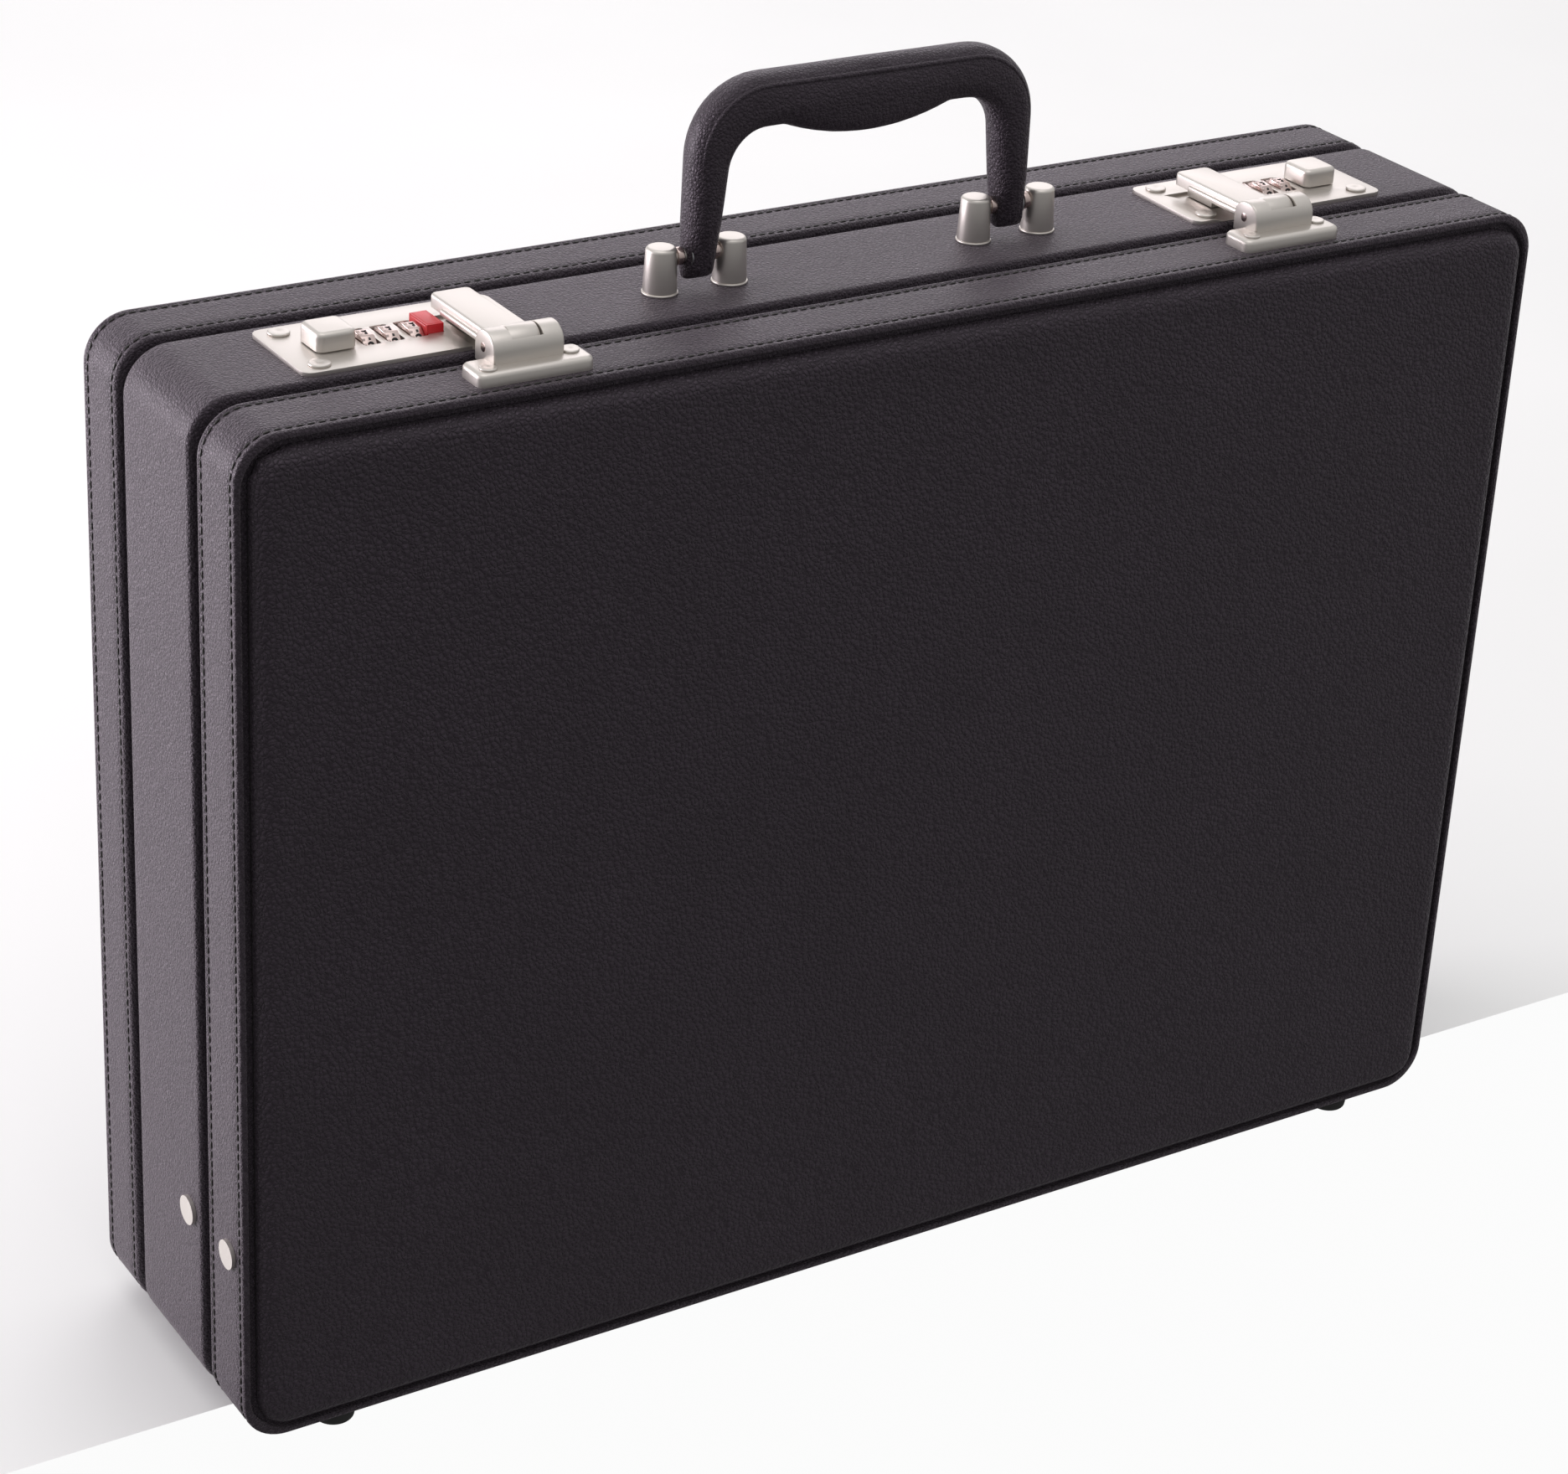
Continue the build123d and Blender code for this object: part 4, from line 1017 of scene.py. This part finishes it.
class CASE_OT_handle(bpy.types.Operator):
    """The padded leather grip with its welted seams, its pin collars and posts."""
    bl_idname = "case.handle"
    bl_label = "Handle"

    def welt(self, name, points, ys):
        """A raised welt of rolled leather along a seam."""
        curve = bpy.data.curves.new(name, "CURVE")
        curve.dimensions = "3D"
        curve.bevel_depth = 0.8 * MM
        curve.bevel_resolution = 3
        curve.use_fill_caps = True
        spline = curve.splines.new("POLY")
        spline.points.add(len(points) - 1)
        for point, (x, z), y in zip(spline.points, points, ys):
            point.co = (x, y, z, 1.0)
        piece = bpy.data.objects.new(name, curve)
        bpy.context.scene.collection.objects.link(piece)
        only(piece)
        bpy.ops.object.convert(target="MESH")
        return bpy.context.object

    def execute(self, context):
        low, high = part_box("handle_grip")
        middle_y = (low.y + high.y) / 2
        grip = handle_blank("grip_leather", 0.2 * MM, 5.4 * MM)
        swell(grip, 4.0, sizes().grip_swell, lambda place: 1.0)
        put(grip, "handle", "grip_calf", ("handle_grip",), 60.0)
        foot_z = low.z + 3.5 * MM
        half_depth = (high.y - low.y) / 2
        for line, points in zip(("outer", "inner"), grip_outline(3.0 * MM, foot_z)):
            points = points + [(-x, z) for x, z in reversed(points[:-1])]
            for place, way in (("front", -1), ("back", 1)):
                depths = [half_depth * (0.8 + 0.2 * (z - low.z) / (high.z - low.z)) - 1.3 * MM
                          for x, z in points]
                ys = [middle_y + way * depth for depth in depths]
                piece = self.welt("grip_welt_%s_%s" % (line, place), points, ys)
                put(piece, "handle", "grip_calf", (), 80.0)
        pin_low, pin_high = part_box("handle_pins")
        pin_z = (pin_low.z + pin_high.z) / 2
        post_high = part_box("handle_posts")[1]
        height = post_high.z - CASE_TOP
        radius = post_high.x - POST_XS[1]
        posts = []
        for x in POST_XS:
            post = turned("post", (x, middle_y, CASE_TOP + height / 2), "Z", radius - 0.15 * MM, height,
                          0.85 * radius, 48)
            rounded(post, 1.1 * MM, 5)
            foot = turned("foot", (x, middle_y, CASE_TOP + 0.4 * MM), "Z", radius + 0.15 * MM, 0.8 * MM,
                          sides=48)
            rounded(foot, 0.3 * MM, 3)
            posts += [post, foot]
        posts = joined(*posts)
        posts.name = "posts_right"
        beads = []
        for x in (POST_XS[0] + 5.9 * MM, POST_XS[1] - 5.9 * MM):
            bead = turned("collar", (x, middle_y, pin_z), "X", 2.7 * MM, 2.4 * MM, sides=32)
            rounded(bead, 0.5 * MM, 3)
            beads.append(bead)
        beads = joined(*beads)
        beads.name = "pin_collars_right"
        for shape, look, stands_for in ((posts, "satin_nickel", "handle_posts"),
                                        (beads, "polished_nickel", None)):
            left = own_copy(shape, shape.name.replace("right", "left"), MIRROR)
            for piece in (shape, left):
                put(piece, "case_body", look, (stands_for,) if stands_for else ())
        return {"FINISHED"}


# ---------------------------------------------------------------- rivets and feet
class CASE_OT_rivets_and_feet(bpy.types.Operator):
    """The stay rivets on the side walls and the rubber feet."""
    bl_idname = "case.rivets_and_feet"
    bl_label = "Rivets and feet"

    def execute(self, context):
        for node, body in (("band_stay_rivets", "case_body"), ("lid_stay_rivets", "lid")):
            low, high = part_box(node)
            y, z = (low.y + high.y) / 2, (low.z + high.z) / 2
            radius = (high.y - low.y) / 2
            rise = high.x - HALF_WIDTH
            head = turned("head", (HALF_WIDTH + rise / 2, y, z), "X", radius, rise, sides=56)
            rounded(head, 0.45 * MM, 4)
            face_x = high.x
            edit_select(head, "FACE", lambda face: face.normal.x > 0.99
                        and face.calc_center_median().x > face_x - 1e-5)
            bpy.ops.mesh.inset(thickness=1.3 * MM, depth=-0.25 * MM)
            bpy.ops.mesh.inset(thickness=1.6 * MM, depth=0.2 * MM)
            done_editing()
            head.name = node[:-1] + "_right"
            left = own_copy(head, node[:-1] + "_left", MIRROR)
            for piece in (head, left):
                put(piece, body, "polished_nickel")
        for node, body in (("band_feet", "case_body"), ("lid_feet", "lid")):
            low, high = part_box(node)
            y = (low.y + high.y) / 2
            radius = (high.y - low.y) / 2
            foot = turned("foot", (high.x - radius, y, (low.z + high.z) / 2), "Z", radius * 0.9,
                          high.z - low.z, radius, 48)
            rounded(foot, 1.0 * MM, 4)
            edit_select(foot, "FACE", lambda face: face.normal.z < -0.99)
            bpy.ops.mesh.inset(thickness=2.6 * MM, depth=0)
            bpy.ops.mesh.extrude_region_move(TRANSFORM_OT_translate={"value": (0, 0, 1.6 * MM)})
            done_editing()
            foot.name = node[:-4] + "foot_right"
            left = own_copy(foot, node[:-4] + "foot_left", MIRROR)
            for piece in (foot, left):
                put(piece, body, "foot_rubber", (node,))
        return {"FINISHED"}


# ---------------------------------------------------------------- interior
class CASE_OT_interior(bpy.types.Operator):
    """The linings, the organiser with its pockets, and the pen loops."""
    bl_idname = "case.interior"
    bl_label = "Interior"

    def soft_slab(self, node, body, look, crown, roll, facing):
        """A thin soft panel: rounded rim and a low crown on the side that faces the inside."""
        low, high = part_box(node)
        slab = block(node + "_cloth", low, high)
        bevel_edges(slab, lambda edge: runs_along(edge, 1), 5.0 * MM, 5)
        face_y = high.y if facing > 0 else low.y
        bevel_edges(slab, lambda edge: all(abs(v.co.y - face_y) < 1e-6 for v in edge.verts), roll, 3)
        edit_select(slab, "FACE", lambda face: face.normal.y * facing > 0.99)
        bpy.ops.mesh.extrude_region_move(TRANSFORM_OT_translate={"value": (0, crown * facing, 0)})
        bpy.ops.transform.resize(value=(0.93, 1, 0.93), center_override=(low + high) / 2)
        done_editing()
        return put(slab, body, look, (node,), 60.0)

    def execute(self, context):
        self.soft_slab("lid_lining", "lid", "lining_nylon", 0.1 * MM, 0.3 * MM, 1)
        self.soft_slab("rear_lining", "rear_section", "lining_nylon", 0.1 * MM, 0.3 * MM, -1)
        self.soft_slab("organiser_panel", "lid", "lining_nylon", 0.2 * MM, 0.5 * MM, 1)
        pocket = self.soft_slab("file_pocket", "lid", "grip_calf", 0.8 * MM, 1.4 * MM, 1)
        low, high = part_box("card_pockets")
        width = 104 * MM
        for side in SIDES:
            x0 = high.x - width if side == "right" else low.x
            card = block("card_pocket_" + side, (x0, low.y, low.z), (x0 + width, high.y, high.z))
            bevel_edges(card, lambda edge: runs_along(edge, 1), 3.0 * MM, 4)
            rounded(card, 0.7 * MM, 3, 50.0)
            put(card, "lid", "grip_calf", ("card_pockets",), 60.0)
        low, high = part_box("pen_loops")
        radius = (high.y - low.y) / 2
        for index, x in enumerate((-22 * MM, 0.0, 22 * MM)):
            loop = turned("pen_loop_%d" % (index + 1), (x, (low.y + high.y) / 2, (low.z + high.z) / 2), "Z",
                          radius, high.z - low.z, sides=32)
            bore = turned("bore", (x, (low.y + high.y) / 2, (low.z + high.z) / 2), "Z", radius - MM, 0.1,
                          sides=32)
            less(loop, bore)
            rounded(loop, 0.25 * MM, 2)
            put(loop, "lid", "grip_calf", ("pen_loops",))
        return {"FINISHED"}


# ---------------------------------------------------------------- finishes of the frame's own nodes
class CASE_OT_frame_finishes(bpy.types.Operator):
    """Gives each frame node that stays in view the finish of the real one."""
    bl_idname = "case.frame_finishes"
    bl_label = "Frame finishes"

    def execute(self, context):
        looks = {"frame_board": "dyed_board", "black_plastic": "black_abs", "lining_fabric": "lining_nylon",
                 "satin_nickel": "satin_nickel", "bright_nickel": "polished_nickel",
                 "spring_steel": "zinc_steel", "red_plastic": "red_abs", "foot_rubber": "foot_rubber",
                 "black_leather": "band_calf"}
        slots = {part["node"]: part["material_slot"] for part in frame["record"]["subparts"]}
        for name, node in frame["nodes"].items():
            node.data.materials.clear()
            node.data.materials.append(material(looks[slots[name]]))
        return {"FINISHED"}


# ---------------------------------------------------------------- stage
class CASE_OT_stage(bpy.types.Operator):
    """A pale table top that ends under the lid's hinge, soft studio light and the camera."""
    bl_idname = "case.stage"
    bl_label = "Stage"

    def lamp(self, name, place, target, size, power, colour):
        nothing_selected()
        bpy.ops.object.light_add(type="AREA", location=place)
        light = bpy.context.object
        light.name = name
        light.rotation_euler = (Vector(target) - Vector(place)).to_track_quat("-Z", "Y").to_euler()
        light.data.shape = "RECTANGLE"
        light.data.size, light.data.size_y = size
        light.data.energy = power
        light.data.color = colour

    def execute(self, context):
        nothing_selected()
        hinge_y = (LID_HIGH.y + BAND_LOW.y) / 2
        bpy.ops.mesh.primitive_plane_add(size=1.0)
        floor = bpy.context.object
        floor.name = "table_top"
        floor.scale = (6.0, 3.0, 1.0)
        floor.location = (0, hinge_y + 1.5, 0)
        bpy.ops.object.transform_apply(location=True, rotation=True, scale=True)
        floor.data.materials.append(self.paper())
        world = bpy.data.worlds.new("studio")
        world.use_nodes = True
        self.studio_walls(world.node_tree)
        context.scene.world = world
        self.lamp("back_right_softbox", (0.95, 1.5, 1.05), (0, 0, 0.33), (1.3, 1.0), 5.0, (1, 0.94, 1.0))
        self.lamp("left_softbox", (-1.5, 1.15, 0.35), (-0.22, 0, 0.17), (1.1, 0.9), 34.0, (1, 0.93, 1.0))
        self.lamp("overhead", (-0.2, -0.3, 2.1), (0, 0, 0.2), (1.6, 1.2), 5.0, (1, 0.97, 0.98))
        bpy.ops.object.camera_add()
        camera = bpy.context.object
        azimuth, elevation, roll = radians(-32.744), radians(25.384), 0.051
        back = Vector((sin(azimuth) * cos(elevation), -cos(azimuth) * cos(elevation), sin(elevation)))
        right = Vector((cos(azimuth), sin(azimuth), 0))
        up = back.cross(right)
        level = Matrix((right, up, back)).transposed()
        camera.matrix_world = Matrix.LocRotScale(
            Vector((-0.629, -0.9374, 0.7356)),
            (level @ Matrix.Rotation(roll, 3, "Z")).to_quaternion(), None)
        camera.data.sensor_width = 36.0
        camera.data.lens = 90.24
        camera.data.shift_x = 0.0154
        camera.data.shift_y = -0.0566
        camera.data.clip_start = 0.05
        context.scene.camera = camera
        context.scene.view_settings.view_transform = "Standard"
        return {"FINISHED"}

    def studio_walls(self, tree):
        """A white backdrop to look at; as a light, pale overhead and darker towards the floor in front."""
        way = add_node(tree, "ShaderNodeTexCoord").outputs["Generated"]
        split = add_node(tree, "ShaderNodeSeparateXYZ", {0: way})
        lift = add_node(tree, "ShaderNodeMath", {0: split.outputs["Y"], 1: 0.45, 2: split.outputs["Z"]},
                        operation="MULTIPLY_ADD")
        glow = add_node(tree, "ShaderNodeMapRange", {
            "Value": lift.outputs[0], "From Min": -0.9, "From Max": 1.0, "To Min": 0.17, "To Max": 0.86})
        seen = add_node(tree, "ShaderNodeLightPath").outputs["Is Camera Ray"]
        level = add_node(tree, "ShaderNodeMix", {0: seen, 2: glow.outputs["Result"], 3: 0.97})
        tree.links.new(level.outputs[0], tree.nodes["Background"].inputs["Strength"])
        tree.nodes["Background"].inputs["Color"].default_value = (1.0, 1.0, 1.0, 1.0)

    def paper(self):
        """White painted board: almost even, a trace of roller texture."""
        paper, tree, shader, place = new_material("white_board", {"Roughness": 0.6})
        clouds = add_node(tree, "ShaderNodeTexNoise", {"Vector": place, "Scale": 3.0, "Detail": 3.0})
        tree.links.new(ramp(tree, clouds.outputs[0], ((0.2, linear("F3F3F2")), (0.8, linear("F8F8F7")))),
                       shader.inputs["Base Color"])
        return paper


class CASE_PT_panel(bpy.types.Panel):
    """Lists the case's operators, sizes and colours."""
    bl_label = "Attache case"
    bl_idname = "CASE_PT_panel"
    bl_space_type = "VIEW_3D"
    bl_region_type = "UI"
    bl_category = "Case"

    def draw(self, context):
        for operator in OPERATORS:
            self.layout.operator(operator.bl_idname)
        for group in (context.scene.case_sizes, context.scene.case_colours):
            for name in group.__annotations__:
                self.layout.prop(group, name)


OPERATORS = (CASE_OT_stage, CASE_OT_frame_finishes, CASE_OT_leather_covers, CASE_OT_padded_panels,
             CASE_OT_locks, CASE_OT_number_wheels, CASE_OT_hasps, CASE_OT_handle,
             CASE_OT_rivets_and_feet, CASE_OT_interior)
CLASSES = (CaseSizes, CaseColours, *OPERATORS, CASE_PT_panel)


def register():
    for cls in CLASSES:
        bpy.utils.register_class(cls)
    bpy.types.Scene.case_sizes = bpy.props.PointerProperty(type=CaseSizes)
    bpy.types.Scene.case_colours = bpy.props.PointerProperty(type=CaseColours)


def unregister():
    del bpy.types.Scene.case_colours
    del bpy.types.Scene.case_sizes
    for cls in reversed(CLASSES):
        bpy.utils.unregister_class(cls)


def main():
    register()
    bpy.ops.case.stage()
    bpy.ops.case.frame_finishes()
    bpy.ops.case.leather_covers()
    bpy.ops.case.padded_panels()
    bpy.ops.case.locks()
    bpy.ops.case.number_wheels()
    bpy.ops.case.hasps()
    bpy.ops.case.handle()
    bpy.ops.case.rivets_and_feet()
    bpy.ops.case.interior()


if __name__ == "__main__":
    main()
